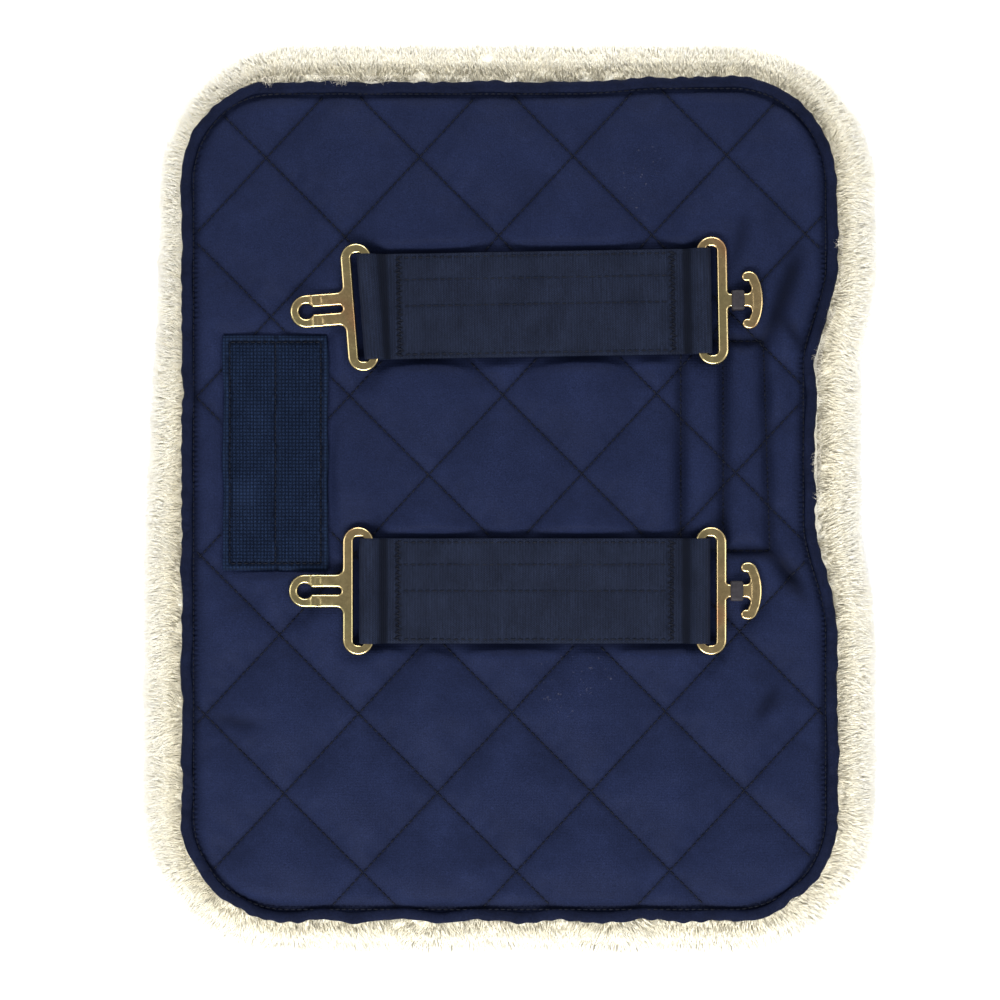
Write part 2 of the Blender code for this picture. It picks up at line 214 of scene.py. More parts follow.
def rounded_outline(low, high, corner, waist, shoulder=0.0, dip=0.0, step=2.5 * MM):
    """The pad's outline, anticlockwise: a rounded rectangle, drawn in at the right by waist, at
    the upper left by shoulder and at the top by dip.
    """
    middle, half = middle_and_half(low, high)
    cx, cy = half - corner
    turns = max(4, int(corner * math.pi / 2 / step))
    rows = int(2 * cy / step)
    columns = int(2 * cx / step)
    points = [(half[0], y) for y in np.linspace(-cy, cy, rows + 1)[:-1]]
    points += arc((cx, cy), corner, 0, math.pi / 2, turns)[:-1]
    points += [(x, half[1]) for x in np.linspace(cx, -cx, columns + 1)[:-1]]
    points += arc((-cx, cy), corner, math.pi / 2, math.pi, turns)[:-1]
    points += [(-half[0], y) for y in np.linspace(cy, -cy, rows + 1)[:-1]]
    points += arc((-cx, -cy), corner, math.pi, 1.5 * math.pi, turns)[:-1]
    points += [(x, -half[1]) for x in np.linspace(-cx, cx, columns + 1)[:-1]]
    points += arc((cx, -cy), corner, 1.5 * math.pi, 2 * math.pi, turns)[:-1]
    points = np.array(points)
    share = np.clip(np.abs(points[:, 0]) / half[0], 0, 1)
    drawn = between(points[:, 1], WAIST_START, WAIST_END)
    right = points[:, 0] > 0
    points[right, 0] -= (waist * drawn * share)[right]
    leaning = shoulder * smooth_step(points[:, 1], *SHOULDER_START) * share
    points[~right, 0] += leaning[~right]
    dipped = between(points[:, 0], DIP_START, DIP_END)
    points[:, 1] -= dip * dipped * np.clip(points[:, 1] / half[1], 0, 1) ** 4
    return points + middle


def loop_normals(points):
    """The outward normal at each point of an anticlockwise closed line."""
    along = np.roll(points, -1, axis=0) - np.roll(points, 1, axis=0)
    return unit(np.stack([along[:, 1], -along[:, 0]], axis=1))


def to_outline(points, outline):
    """For each point, its distance to a closed line and the nearest point on it."""
    starts, ends = outline, np.roll(outline, -1, axis=0)
    along = ends - starts
    lengths = (along ** 2).sum(1)
    best = np.full(len(points), np.inf)
    nearest = np.zeros((len(points), 2))
    for start, step, length in zip(starts, along, lengths):
        t = np.clip(((points - start) @ step) / length, 0, 1)
        foot = start + t[:, None] * step
        distance = np.linalg.norm(points - foot, axis=1)
        closer = distance < best
        best[closer] = distance[closer]
        nearest[closer] = foot[closer]
    return best, nearest


def inside(points, outline):
    starts, ends = outline, np.roll(outline, -1, axis=0)
    crossings = np.zeros(len(points), int)
    for (ax, ay), (bx, by) in zip(starts, ends):
        spans = (ay > points[:, 1]) != (by > points[:, 1])
        if by != ay:
            crossings += spans & (points[:, 0] < (bx - ax) * (points[:, 1] - ay) / (by - ay) + ax)
    return crossings % 2 == 1


def segment_distance(points, start, end):
    """Distance to a segment, and how far along it the nearest point is, from 0 to 1."""
    start, end = np.array(start), np.array(end)
    along = end - start
    t = np.clip(((points - start) @ along) / (along @ along), 0, 1)
    return np.linalg.norm(points - (start + t[:, None] * along), axis=1), t


def rectangle_distance(points, centre, half, angle=0.0):
    """Signed distance to a turned rectangle's edge: negative inside it."""
    turn = np.array([[math.cos(angle), -math.sin(angle)], [math.sin(angle), math.cos(angle)]])
    local = np.abs((points - centre) @ turn) - half
    outside = np.linalg.norm(np.maximum(local, 0), axis=1)
    return outside + np.minimum(local.max(axis=1), 0)


# ---------------------------------------------------------------- meshes

FLIPPED = [0, 3, 2, 1]  # a quad's corners the other way round, from the same first one


def add_object(name, data):
    obj = bpy.data.objects.new(name, data)
    bpy.context.scene.collection.objects.link(obj)
    return obj


def make_mesh(name, vertices, face_arrays):
    """A mesh object from arrays: each face array holds faces with the same number of corners."""
    mesh = bpy.data.meshes.new(name)
    face_arrays = [np.asarray(faces) for faces in face_arrays if len(faces)]
    mesh.vertices.add(len(vertices))
    mesh.vertices.foreach_set("co", np.asarray(vertices, np.float32).ravel())
    mesh.loops.add(sum(faces.size for faces in face_arrays))
    mesh.loops.foreach_set("vertex_index",
                           np.concatenate([f.ravel() for f in face_arrays]).astype(np.int32))
    sizes = np.concatenate([np.full(len(faces), faces.shape[1]) for faces in face_arrays])
    mesh.polygons.add(len(sizes))
    starts = np.concatenate([[0], np.cumsum(sizes)[:-1]])
    mesh.polygons.foreach_set("loop_start", starts.astype(np.int32))
    mesh.update(calc_edges=True)
    mesh.validate()
    shade_smooth(mesh)
    return add_object(name, mesh)


def shade_smooth(mesh):
    mesh.polygons.foreach_set("use_smooth", np.full(len(mesh.polygons), True))


def vertices_of(mesh):
    co = np.zeros(len(mesh.vertices) * 3, np.float32)
    mesh.vertices.foreach_get("co", co)
    return co.reshape(-1, 3).astype(float)


def set_vertices(mesh, co):
    mesh.vertices.foreach_set("co", np.asarray(co, np.float32).ravel())
    mesh.update()


def add_attribute(obj, name, values):
    """A number at each vertex, for the materials' Attribute nodes."""
    layer = obj.data.attributes.new(name, "FLOAT", "POINT")
    layer.data.foreach_set("value", np.asarray(values, np.float32).ravel())


def set_all(target, settings):
    for key, value in settings.items():
        setattr(target, key, value)


def apply_modifiers(obj):
    depsgraph = bpy.context.evaluated_depsgraph_get()
    mesh = bpy.data.meshes.new_from_object(obj.evaluated_get(depsgraph))
    obj.modifiers.clear()
    obj.data = mesh


def modify(obj, kind, **settings):
    """Add one modifier and apply it."""
    set_all(obj.modifiers.new(kind, kind), settings)
    apply_modifiers(obj)


def finish_piece(obj, material, body, slot, *replaced):
    obj.data.materials.clear()
    obj.data.materials.append(material)
    if body:
        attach(obj, body)
    if replaced:
        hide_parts(*replaced)
    return obj


def close_sheet(name, top, faces, bottom):
    """A closed solid from a sheet's points and faces, and the matching points under it."""
    faces = np.asarray(faces)
    count = len(top)
    corners = faces.shape[1]
    edges = np.concatenate([faces[:, [i, (i + 1) % corners]] for i in range(corners)])
    keys = np.sort(edges, axis=1)
    keys = keys[:, 0] * count + keys[:, 1]
    _, first, times = np.unique(keys, return_index=True, return_counts=True)
    rim = edges[first[times == 1]]
    sides = np.stack([rim[:, 1], rim[:, 0], rim[:, 0] + count, rim[:, 1] + count], axis=1)
    under = faces[:, ::-1] + count
    return make_mesh(name, np.concatenate([top, bottom]), [faces, under, sides])


def grid_quads(rows, columns, wrap=False):
    """The faces between rows of points, which are joined round each row if wrap is set."""
    index = np.arange(rows * columns).reshape(rows, columns)
    if wrap:
        index = np.column_stack([index, index[:, 0]])
    return np.stack([index[:-1, :-1], index[1:, :-1], index[1:, 1:], index[:-1, 1:]],
                    axis=-1).reshape(-1, 4)


def ring_loft(name, rings):
    """A closed tube: rings[k] is the k-th line round the loop, and the last joins the first."""
    rings = np.asarray(rings)
    lines, count = rings.shape[:2]
    quads = grid_quads(lines + 1, count, wrap=True)[:, FLIPPED] % (lines * count)
    return make_mesh(name, rings.reshape(-1, 3), [quads])


def lattice(low, high, origin, across, up, cells, outline):
    """A sheet of square cells along two directions, cut to an outline."""
    basis = np.stack([across, up]) / cells
    corners = np.array([(x, y) for x in (low[0], high[0]) for y in (low[1], high[1])])
    reach = (corners - origin) @ np.linalg.inv(basis)
    first = np.floor(reach.min(0)).astype(int) - 1
    last = np.ceil(reach.max(0)).astype(int) + 1
    us, vs = np.arange(first[0], last[0] + 1), np.arange(first[1], last[1] + 1)
    grid = np.stack(np.meshgrid(us, vs, indexing="ij"), axis=-1).reshape(-1, 2)
    points = origin + grid @ basis
    quads = grid_quads(len(us), len(vs))
    quads = quads[inside(points, outline)[quads].all(axis=1)]
    used, renamed = np.unique(quads, return_inverse=True)
    points, quads = points[used], renamed.reshape(-1, 4)
    turn = np.cross(points[quads[0, 1]] - points[quads[0, 0]],
                    points[quads[0, 2]] - points[quads[0, 0]])
    if turn < 0:
        quads = quads[:, ::-1]
    sides = np.bincount(quads.ravel(), minlength=len(points))
    rim = sides < 4
    points[rim] = to_outline(points[rim], outline)[1]
    return points, quads, grid[used], rim


def tube_along(path, radius, sides):
    """Vertices and faces of one tube with closed ends along a line of points."""
    path = np.asarray(path, float)
    ahead = unit(np.gradient(path, axis=0))
    up = np.tile((0.0, 0.0, 1.0), (len(path), 1))
    side = np.cross(ahead, up)
    side /= np.maximum(np.linalg.norm(side, axis=1), 1e-9)[:, None]
    up = np.cross(side, ahead)
    angles = np.arange(sides) * 2 * math.pi / sides
    rings = path[:, None] + radius * (np.cos(angles)[None, :, None] * side[:, None]
                                      + np.sin(angles)[None, :, None] * up[:, None])
    caps = np.array([np.arange(sides), (len(path) - 1) * sides + np.arange(sides)[::-1]])
    return rings.reshape(-1, 3), grid_quads(len(path), sides, wrap=True), caps


def many_tubes(name, paths, radius, sides=5):
    """One object that holds a tube along each path."""
    vertices, quads, caps, offset = [], [], [], 0
    for path in paths:
        points, faces, ends = tube_along(path, radius, sides)
        vertices.append(points)
        quads.append(faces + offset)
        caps.append(ends + offset)
        offset += len(points)
    return make_mesh(name, np.concatenate(vertices),
                     [np.concatenate(quads), np.concatenate(caps)])


# ---------------------------------------------------------------- materials

def set_stops(node, stops):
    """Give a colour ramp its stops: positions with greys or colours."""
    elements = node.color_ramp.elements
    while len(elements) < len(stops):
        elements.new(0.5)
    for element, (position, colour) in zip(elements, stops):
        element.position = position
        element.color = (*np.broadcast_to(colour, 3), 1)


class Graph:
    """A material's node tree, with short ways to add and link nodes."""

    def __init__(self, name, roughness=0.6, metallic=0.0, specular=0.5, colour=(0.5, 0.5, 0.5)):
        self.material = bpy.data.materials.new(name)
        self.material.use_nodes = True
        self.nodes = self.material.node_tree.nodes
        self.links = self.material.node_tree.links
        self.shader = self.nodes["Principled BSDF"]
        self.feed(self.shader, {"Roughness": roughness, "Metallic": metallic,
                                "Specular IOR Level": specular, "Base Color": (*colour, 1)})

    def feed(self, node, values):
        """Link each value that is another node's output; set the others on their sockets."""
        for key, value in values.items():
            if isinstance(value, bpy.types.NodeSocket):
                self.links.new(value, node.inputs[key])
            else:
                node.inputs[key].default_value = value

    def add(self, kind, values=None, **settings):
        node = self.nodes.new(kind)
        set_all(node, settings)
        self.feed(node, values or {})
        return node

    def finish(self, colour, normal):
        self.feed(self.shader, {"Base Color": colour, "Normal": normal})
        return self.material

    def place(self):
        return self.add("ShaderNodeTexCoord").outputs["Object"]

    def attribute(self, name):
        return self.add("ShaderNodeAttribute", attribute_name=name).outputs["Fac"]

    def noise(self, scale, detail=3.0, roughness=0.55, vector=None):
        node = self.add("ShaderNodeTexNoise", {
            "Vector": vector or self.place(), "Scale": scale, "Detail": detail,
            "Roughness": roughness})
        return node.outputs["Fac"]

    def stretched(self, scale):
        return self.add("ShaderNodeMapping", {"Vector": self.place(), "Scale": scale}).outputs[0]

    def waves(self, scale, direction, vector=None, distortion=0.0):
        node = self.add("ShaderNodeTexWave", {
            "Vector": vector or self.place(), "Scale": scale, "Distortion": distortion},
            bands_direction=direction)
        return node.outputs["Fac"]

    def ramp(self, factor, stops):
        node = self.add("ShaderNodeValToRGB", {"Fac": factor})
        set_stops(node, stops)
        return node.outputs["Color"]

    def maths(self, operation, *values):
        return self.add("ShaderNodeMath", dict(enumerate(values)), operation=operation).outputs[0]

    def mix(self, factor, a, b, blend="MIX"):
        node = self.add("ShaderNodeMix", {0: factor, 6: a, 7: b}, data_type="RGBA",
                        blend_type=blend)
        return node.outputs[2]

    def tint(self, colour, factor, stops):
        """A colour multiplied by a ramp of greys."""
        return self.mix(1.0, colour, self.ramp(factor, stops), "MULTIPLY")

    def with_painted_shade(self, colour, dark):
        """A colour with painted shade: darker where the mesh's shade attribute says so."""
        return self.mix(self.attribute("shade"), colour, (*dark, 1))

    def bump(self, height, distance, strength=1.0, before=None):
        values = {"Height": height, "Distance": distance, "Strength": strength}
        if before is not None:
            values["Normal"] = before
        return self.add("ShaderNodeBump", values).outputs["Normal"]


def scaled(colour, factor):
    return tuple(channel * factor for channel in colour)


NAVY = (0.0080, 0.0117, 0.0333)
NAVY_WEB = (0.0071, 0.0098, 0.0200)
THREAD_NAVY = (0.0014, 0.0024, 0.0070)
CLOTH_SHINE = 0.03


def quilt_material():
    """Fine twill: two crossed thread directions, mottled, with faint pale rub marks, and painted
    shade where the pad's shade attribute says so.
    """
    g = Graph("quilt_fabric", roughness=0.62, specular=CLOTH_SHINE)
    tone = g.ramp(g.noise(55, 4, 0.6), [(0.30, scaled(NAVY, 0.86)), (0.55, NAVY),
                                        (0.78, scaled(NAVY, 1.20))])
    grain = g.noise(1900, 2, 0.5)
    tone = g.tint(tone, grain, [(0.30, 0.72), (0.50, 1.0), (0.72, 1.42)])
    rubbed = g.maths("MULTIPLY", g.maths("GREATER_THAN", g.noise(7, 2, 0.4), 0.665),
                     g.maths("GREATER_THAN", g.noise(420, 3, 0.7), 0.66))
    tone = g.mix(g.maths("MULTIPLY", rubbed, 0.09), tone, (0.26, 0.25, 0.28, 1))
    warp = g.waves(240, "X", g.stretched((1.0, 0.45, 1.0)), 0.6)
    weft = g.waves(240, "Y", g.stretched((0.45, 1.0, 1.0)), 0.6)
    normal = g.bump(g.maths("ADD", warp, weft), 0.00006, 0.8)
    return g.finish(g.with_painted_shade(tone, scaled(NAVY, 0.22)), g.bump(grain, 0.00008, 0.7, normal))


def binding_material():
    g = Graph("binding_tape", roughness=0.66, specular=CLOTH_SHINE)
    tone = g.ramp(g.noise(90, 3), [(0.32, scaled(NAVY, 0.42)), (0.72, scaled(NAVY, 0.66))])
    tone = g.tint(tone, g.noise(1500, 2), [(0.30, 0.70), (0.72, 1.35)])
    return g.finish(tone, g.bump(g.noise(1300, 3), 0.00012, 0.8))


def webbing_material():
    """Ribbed webbing: yarns cross over and under along each rib; the colour follows this relief,
    with painted shade in the grooves between and a painted highlight where yarns cross over.
    """
    g = Graph("strap_webbing", roughness=0.55, specular=0.04)
    along, across = g.attribute("along"), g.attribute("across")
    rib = g.maths("COSINE", g.maths("MULTIPLY", along, 2 * math.pi / RIB_PITCH))
    yarn = g.maths("SINE", g.maths("MULTIPLY", across, 2 * math.pi / YARN_PITCH))
    over = g.maths("MULTIPLY", rib, yarn)
    grain = g.noise(1500, 3, 0.6)
    uneven = g.noise(1.0, 2, 0.5, g.stretched((900, 90, 90)))
    grain = g.maths("MULTIPLY_ADD", uneven, 0.3, g.maths("SUBTRACT", grain, 0.15))
    weave = g.maths("MULTIPLY_ADD", rib, 0.08, g.maths("MULTIPLY_ADD", over, 0.22, grain))
    # The ramp paints the weave's relief into the colour: painted shade in the grooves, a painted
    # highlight on crossing yarns, besides their random grain
    tone = g.ramp(weave, [(0.15, scaled(NAVY_WEB, 0.40)), (0.50, NAVY_WEB),
                          (0.85, scaled(NAVY_WEB, 2.0))])
    tone = g.tint(tone, g.noise(70, 3), [(0.30, 0.82), (0.70, 1.18)])
    # Painted shade where the web's shade attribute says so, in the dip beside the bartack
    return g.finish(g.with_painted_shade(tone, scaled(NAVY_WEB, 0.25)), g.bump(weave, 0.00014, 0.8))


def thread_material(name, colour):
    g = Graph(name, roughness=0.55, specular=0.15)
    tone = g.ramp(g.noise(900, 2), [(0.35, scaled(colour, 0.7)), (0.70, scaled(colour, 1.5))])
    g.feed(g.shader, {"Base Color": tone})
    return g.material


def tape_material():
    """Woven tape: a fine grid of threads with darker gaps between, and painted shade along its
    seams.
    """
    g = Graph("hook_tape", roughness=0.62, specular=CLOTH_SHINE)
    navy = (0.0050, 0.0098, 0.0246)
    tone = g.ramp(g.noise(120, 4), [(0.30, scaled(navy, 0.86)), (0.72, scaled(navy, 1.18))])
    tone = g.tint(tone, g.noise(1500, 2), [(0.32, 0.75), (0.70, 1.35)])
    threads = g.maths("MULTIPLY", g.waves(190, "X", None, 0.8), g.waves(190, "Y", None, 0.8))
    tone = g.tint(tone, threads, [(0.0, 0.62), (0.6, 1.6)])
    return g.finish(g.with_painted_shade(tone, scaled(navy, 0.30)), g.bump(g.noise(1400, 2), 0.00008, 0.7))


def brass_material():
    """Yellow-passivated plate: olive brass, a faint orange and green film and fine scratches."""
    g = Graph("antique_brass", metallic=1.0)
    film = g.noise(30, 1, 0.5)
    tone = g.ramp(film, [(0.30, (0.50, 0.44, 0.21)), (0.48, (0.56, 0.44, 0.22)),
                         (0.62, (0.58, 0.42, 0.21)), (0.70, (0.65, 0.34, 0.17)),
                         (0.78, (0.43, 0.50, 0.21))])
    tone = g.tint(tone, g.noise(700, 3, 0.6), [(0.30, 0.84), (0.62, 1.0)])
    wear = g.add("ShaderNodeMapRange", {"Value": g.noise(260, 3, 0.6), "From Min": 0.3,
                                        "From Max": 0.75, "To Min": 0.17, "To Max": 0.30})
    g.feed(g.shader, {"Roughness": wear.outputs[0]})
    scratches = g.noise(1.0, 4, 0.7, g.stretched((1400, 260, 600)))
    return g.finish(tone, g.bump(scratches, 0.000008, 0.5))


def rubber_material():
    g = Graph("black_rubber", roughness=0.6, specular=0.20)
    tone = g.ramp(g.noise(600, 3), [(0.3, (0.014, 0.0125, 0.015)), (0.7, (0.026, 0.023, 0.027))])
    return g.finish(tone, g.bump(g.noise(900, 3), 0.00006, 0.6))


def fleece_material():
    g = Graph("fleece_base", roughness=0.95, specular=0.1)
    tone = g.ramp(g.noise(160, 4), [(0.30, (0.95, 0.90, 0.74)), (0.70, (0.97, 0.94, 0.82))])
    return g.finish(tone, g.bump(g.noise(700, 4, 0.7), 0.0008, 0.9))


def fibre_material(name, colour):
    return Graph(name, roughness=0.85, specular=0.1, colour=colour).material


QUILT = quilt_material()
BINDING = binding_material()
WEBBING = webbing_material()
THREAD = thread_material("navy_thread", THREAD_NAVY)
TAPE = tape_material()
BRASS = brass_material()
RUBBER = rubber_material()
FLEECE = fleece_material()
FIBRES = [fibre_material("fibre_cream", (0.93, 0.90, 0.80)),
          fibre_material("fibre_ivory", (0.94, 0.92, 0.86)),
          fibre_material("fibre_straw", (0.91, 0.86, 0.71))]
# The stray fibres are the same cream as the rest, given a darker colour as painted shade, since
# they stand in the open and catch more light
STRAY_FIBRE_SHADED = fibre_material("fibre_stray_shaded", (0.66, 0.62, 0.52))


# ---------------------------------------------------------------- strap frames

def strap_frame(name):
    """A strap's centre on the face, its direction and its hinge lines, from the joints."""
    left = np.array(JOINTS[name + "_left_web_lift"]["pos_m"])
    right = np.array(JOINTS[name + "_right_web_lift"]["pos_m"])
    centre = (left + right) / 2
    along = (right - left) / np.linalg.norm(right - left)
    return {"centre": centre[:2], "angle": math.atan2(along[1], along[0]),
            "hinge": np.linalg.norm(right - left) / 2, "top": left[2]}


FRAMES = {name: strap_frame(name) for name in STRAPS}
WEB_WIDTH = box_of("lower_strap")[1][1] - box_of("lower_strap")[0][1]
STRAP_TOP = FRAMES["lower"]["top"]
BAR_HEIGHT = JOINTS["lower_keyhole_swing"]["pos_m"][2]
BAR_REACH = FRAMES["lower"]["centre"][0] - JOINTS["lower_keyhole_swing"]["pos_m"][0]
FOLD_REACH = BAR_REACH + BAR_ROOM + WEB_THICKNESS


def placed(local, centre, angle):
    """Points in a frame that lies on the face, moved into the row frame."""
    local = np.asarray(local, float)
    c, s = math.cos(angle), math.sin(angle)
    moved = local.copy()
    moved[..., 0] = centre[0] + c * local[..., 0] - s * local[..., 1]
    moved[..., 1] = centre[1] + s * local[..., 0] + c * local[..., 1]
    return moved


def strap_distance(points, strap, reach):
    """Signed distance to a strap's rectangle, which ends at reach from its centre."""
    half = np.array((reach, WEB_WIDTH / 2))
    return rectangle_distance(points, strap["centre"], half, strap["angle"])


def bar_angle(swing):
    """How far a fitting's hinge line is turned from square to the row."""
    axis = JOINTS[swing]["axis"]
    return math.atan2(axis[0], -axis[1]) if "hook" in swing else math.atan2(-axis[0], axis[1])


def swing_angle(swing):
    """The direction in which a fitting points from its inner bar."""
    return bar_angle(swing) + (0 if "hook" in swing else math.pi)


def fitting_distance(points):
    """Distance to the nearest fitting's outline, drawn with rectangles; 0 under it."""
    nearest = np.full(len(points), np.inf)
    for name in STRAPS:
        for swing, tip, half in ((name + "_keyhole_swing", TONGUE_TIP, TONGUE_HALF),
                                 (name + "_hook_swing", HEAD_TIP, HEAD_HALF)):
            angle = swing_angle(swing)
            bar = np.array(JOINTS[swing]["pos_m"][:2])
            heading = np.array((math.cos(angle), math.sin(angle)))
            for start, end, width in ((-INNER_BAR_HALF, OUTER_BAR[1], RING_LENGTH / 2),
                                      (OUTER_BAR[1], tip, half)):
                middle = bar + heading * (start + end) / 2
                size = np.array(((end - start) / 2, width))
                nearest = np.minimum(nearest, rectangle_distance(points, middle, size, angle))
    return np.maximum(nearest, 0)


# ---------------------------------------------------------------- the quilted pad

PANEL = rounded_outline(PANEL_LOW, PANEL_HIGH, PANEL_CORNER, PANEL_WAIST, dip=PANEL_DIP)
PILE = rounded_outline(PILE_LOW, PILE_HIGH, PANEL_CORNER + 16 * MM, PILE_WAIST, PILE_SHOULDER)
FRONT_TAPE_LOW, FRONT_TAPE_HIGH = box_of("front_hook_tape")
FRONT_TAPE = middle_and_half(FRONT_TAPE_LOW, FRONT_TAPE_HIGH)
REVERSE_LOW, REVERSE_HIGH = box_of("reverse_loop_tape")
PATCH_LEFT, PATCH_RIGHT = REVERSE_LOW[0], REVERSE_HIGH[0]
PATCH_MIDDLE = (PATCH_LEFT + PATCH_RIGHT) / 2 - 1 * MM
PATCH_BOTTOM, PATCH_TOP = REVERSE_LOW[1], REVERSE_HIGH[1]

# Seams of the reverse tape that show on the face, as segments
PATCH_SEAMS = [((PATCH_LEFT, PATCH_TOP), (PATCH_LEFT, PATCH_BOTTOM)),
               ((PATCH_MIDDLE, PATCH_TOP), (PATCH_MIDDLE, PATCH_BOTTOM)),
               ((PATCH_RIGHT - 3 * MM, PATCH_TOP), (PATCH_RIGHT, PATCH_BOTTOM)),
               ((PATCH_LEFT, PATCH_TOP), (PATCH_RIGHT - 3 * MM, PATCH_TOP)),
               ((PATCH_LEFT, PATCH_BOTTOM), (PATCH_RIGHT, PATCH_BOTTOM))]

# Deep creases where the edge is drawn in, in mm: start, end, depth, half width
CREASES = [((137, 118), (121, 74), 3.4, 7), ((123, -24), (139, -45), 3.2, 6),
           ((126, 88), (140, 70), 2.0, 5), ((128, -88), (116, -104), 2.2, 6),
           ((112, 135), (104, 106), 1.8, 6), ((-140, -103), (-118, -107), 1.8, 6)]

# How the cloth is simulated: light, well damped, and growing by 3 percent
CLOTH = {"quality": 5, "mass": 0.15, "air_damping": 3.0, "tension_stiffness": 12,
         "compression_stiffness": 12, "shear_stiffness": 6, "bending_stiffness": 0.15,
         "vertex_group_mass": "held", "shrink_min": -0.03, "use_pressure": True,
         "uniform_pressure_force": CLOTH_PRESSURE}


def quilt_coordinates(points):
    basis = np.stack([QUILT_DOWN, QUILT_UP])
    return (points - QUILT_ORIGIN) @ np.linalg.inv(basis)


def seam_distances(points):
    """Distance to the nearest seam of each direction."""
    uv = quilt_coordinates(points)
    off = np.abs(uv - np.round(uv)) * abs(np.cross(QUILT_DOWN, QUILT_UP))
    return off[:, 0] / np.linalg.norm(QUILT_UP), off[:, 1] / np.linalg.norm(QUILT_DOWN)


def patch_distance(points):
    return np.min([segment_distance(points, *ends)[0] for ends in PATCH_SEAMS], axis=0)


def creases_near(points):
    """For each crease: the points' distances to it, its strength beside them, depth and width."""
    for start, end, depth, width in CREASES:
        distance, along = segment_distance(points, np.array(start) * MM, np.array(end) * MM)
        strength = np.sin(math.pi * np.clip(along, 0.03, 0.97)) ** 0.5
        yield distance, strength, depth * MM, width * MM


def inflate(sheet, pinned):
    """Simulate the cloth as it is pressed out from inside, with its seams and its edge held."""
    group = sheet.vertex_groups.new(name="held")
    group.add([int(i) for i in np.flatnonzero(pinned)], 1.0, "REPLACE")
    cloth = sheet.modifiers.new("cloth", "CLOTH")
    set_all(cloth.settings, CLOTH)
    cloth.settings.effector_weights.gravity = 0
    cloth.collision_settings.use_collision = False
    scene = bpy.context.scene
    cloth.point_cache.frame_start, cloth.point_cache.frame_end = 1, CLOTH_FRAMES
    for number in range(1, CLOTH_FRAMES + 1):
        scene.frame_set(number)
    apply_modifiers(sheet)
    scene.frame_set(1)


def quilt_sheet():
    """The face as an open sheet that stands out between its seams."""
    low, high = PANEL.min(0), PANEL.max(0)
    edge = PANEL - loop_normals(PANEL) * 1.6 * MM
    points, quads, grid, rim = lattice(low, high, QUILT_ORIGIN, QUILT_DOWN, QUILT_UP,
                                       QUILT_CELLS, edge)
    on_seam = (grid % QUILT_CELLS == 0).any(axis=1)
    flat = np.column_stack([points, np.zeros(len(points))])
    sheet = make_mesh("quilt_sheet", flat, [quads])
    inflate(sheet, rim | on_seam)
    modify(sheet, "SUBSURF", levels=1, render_levels=1)
    return sheet


def crease_height(points):
    """Each crease is a valley with a low ridge on both sides."""
    height = np.zeros(len(points))
    for distance, strength, depth, width in creases_near(points):
        ridge = bell(distance - 1.5 * width, 0.7 * width)
        height += strength * depth * (0.45 * ridge - bell(distance, 0.55 * width))
    return height


def face_shape(points, rise):
    """Height of the face over its seam level, from the inflated rise of each point."""
    seam = np.minimum(*seam_distances(points))
    height = rise * (1 + 0.10 * ripple(points, 60 * MM, 3))
    # The reverse tape's seams pull the face down, and it stands out between them
    patch = patch_distance(points)
    height *= 1 - bell(patch, 4.2 * MM, 1.5)
    in_patch = rectangle_distance(points, *middle_and_half(REVERSE_LOW, REVERSE_HIGH)) < 0
    puffed = 3.6 * MM * (1 - bell(patch, 5.5 * MM, 1.4))
    height = np.where(in_patch, 0.45 * height + puffed, height)
    height -= 1.2 * MM * bell(patch, 1.8 * MM)
    height += crease_height(points)
    # Small puckers beside the seams, and a faint waviness where the cloth stands high
    pucker = ripple(points, 5.5 * MM, 11, 22)
    height += 0.22 * MM * pucker * bell(seam, 4.5 * MM, 1) * (seam / (seam + 0.8 * MM))
    height += 0.20 * MM * ripple(points, 17 * MM, 12, 20) * np.clip(height / QUILT_RISE, 0, 1)
    # The front tape and the straps hold the cloth flat
    under = rectangle_distance(points, *FRONT_TAPE)
    height *= smooth_step(under, -1 * MM, 6 * MM)
    for strap in FRAMES.values():
        under = strap_distance(points, strap, FOLD_REACH)
        height *= 0.06 + 0.94 * smooth_step(under, 0, 6.5 * MM)
    # The cloth stays below the fittings, with a soft limit that rises away from them
    room = BAR_HEIGHT - METAL_THICKNESS / 2 - 0.3 * MM - SEAM_LEVEL
    limit = room + 0.30 * fitting_distance(points)
    height = limit - np.logaddexp(0, (limit - height) / (0.5 * MM)) * 0.5 * MM
    # It goes down to the edge, with a groove along the binding's stitches
    edge = to_outline(points, PANEL)[0]
    height *= smooth_step(edge, 3.5 * MM, 13 * MM)
    return height - 1.1 * MM * bell(edge - 6.8 * MM, 1.5 * MM)


def painted_face_shade(points):
    """How much painted shade the cloth gets, 0 to 1: most in stitched dips, deep creases and along
    the binding, and a painted shadow beside the straps.
    """
    edge = to_outline(points, PANEL)[0]
    light = 1 - 0.50 * bell(np.minimum(*seam_distances(points)), 1.3 * MM)
    light *= 1 - 0.62 * bell(patch_distance(points), 2.8 * MM)
    light *= 1 - 0.70 * bell(edge - 6.3 * MM, 1.8 * MM)
    for distance, strength, depth, width in creases_near(points):
        light *= 1 - np.minimum(0.30 * strength * depth / MM, 0.85) * bell(distance, 0.6 * width)
    # Each strap's painted shadow on the cloth round it
    for strap in FRAMES.values():
        under = strap_distance(points, strap, FOLD_REACH - 6 * MM)
        light *= 1 - 0.55 * bell(np.maximum(under, 0), 2.2 * MM)
    return 1 - light


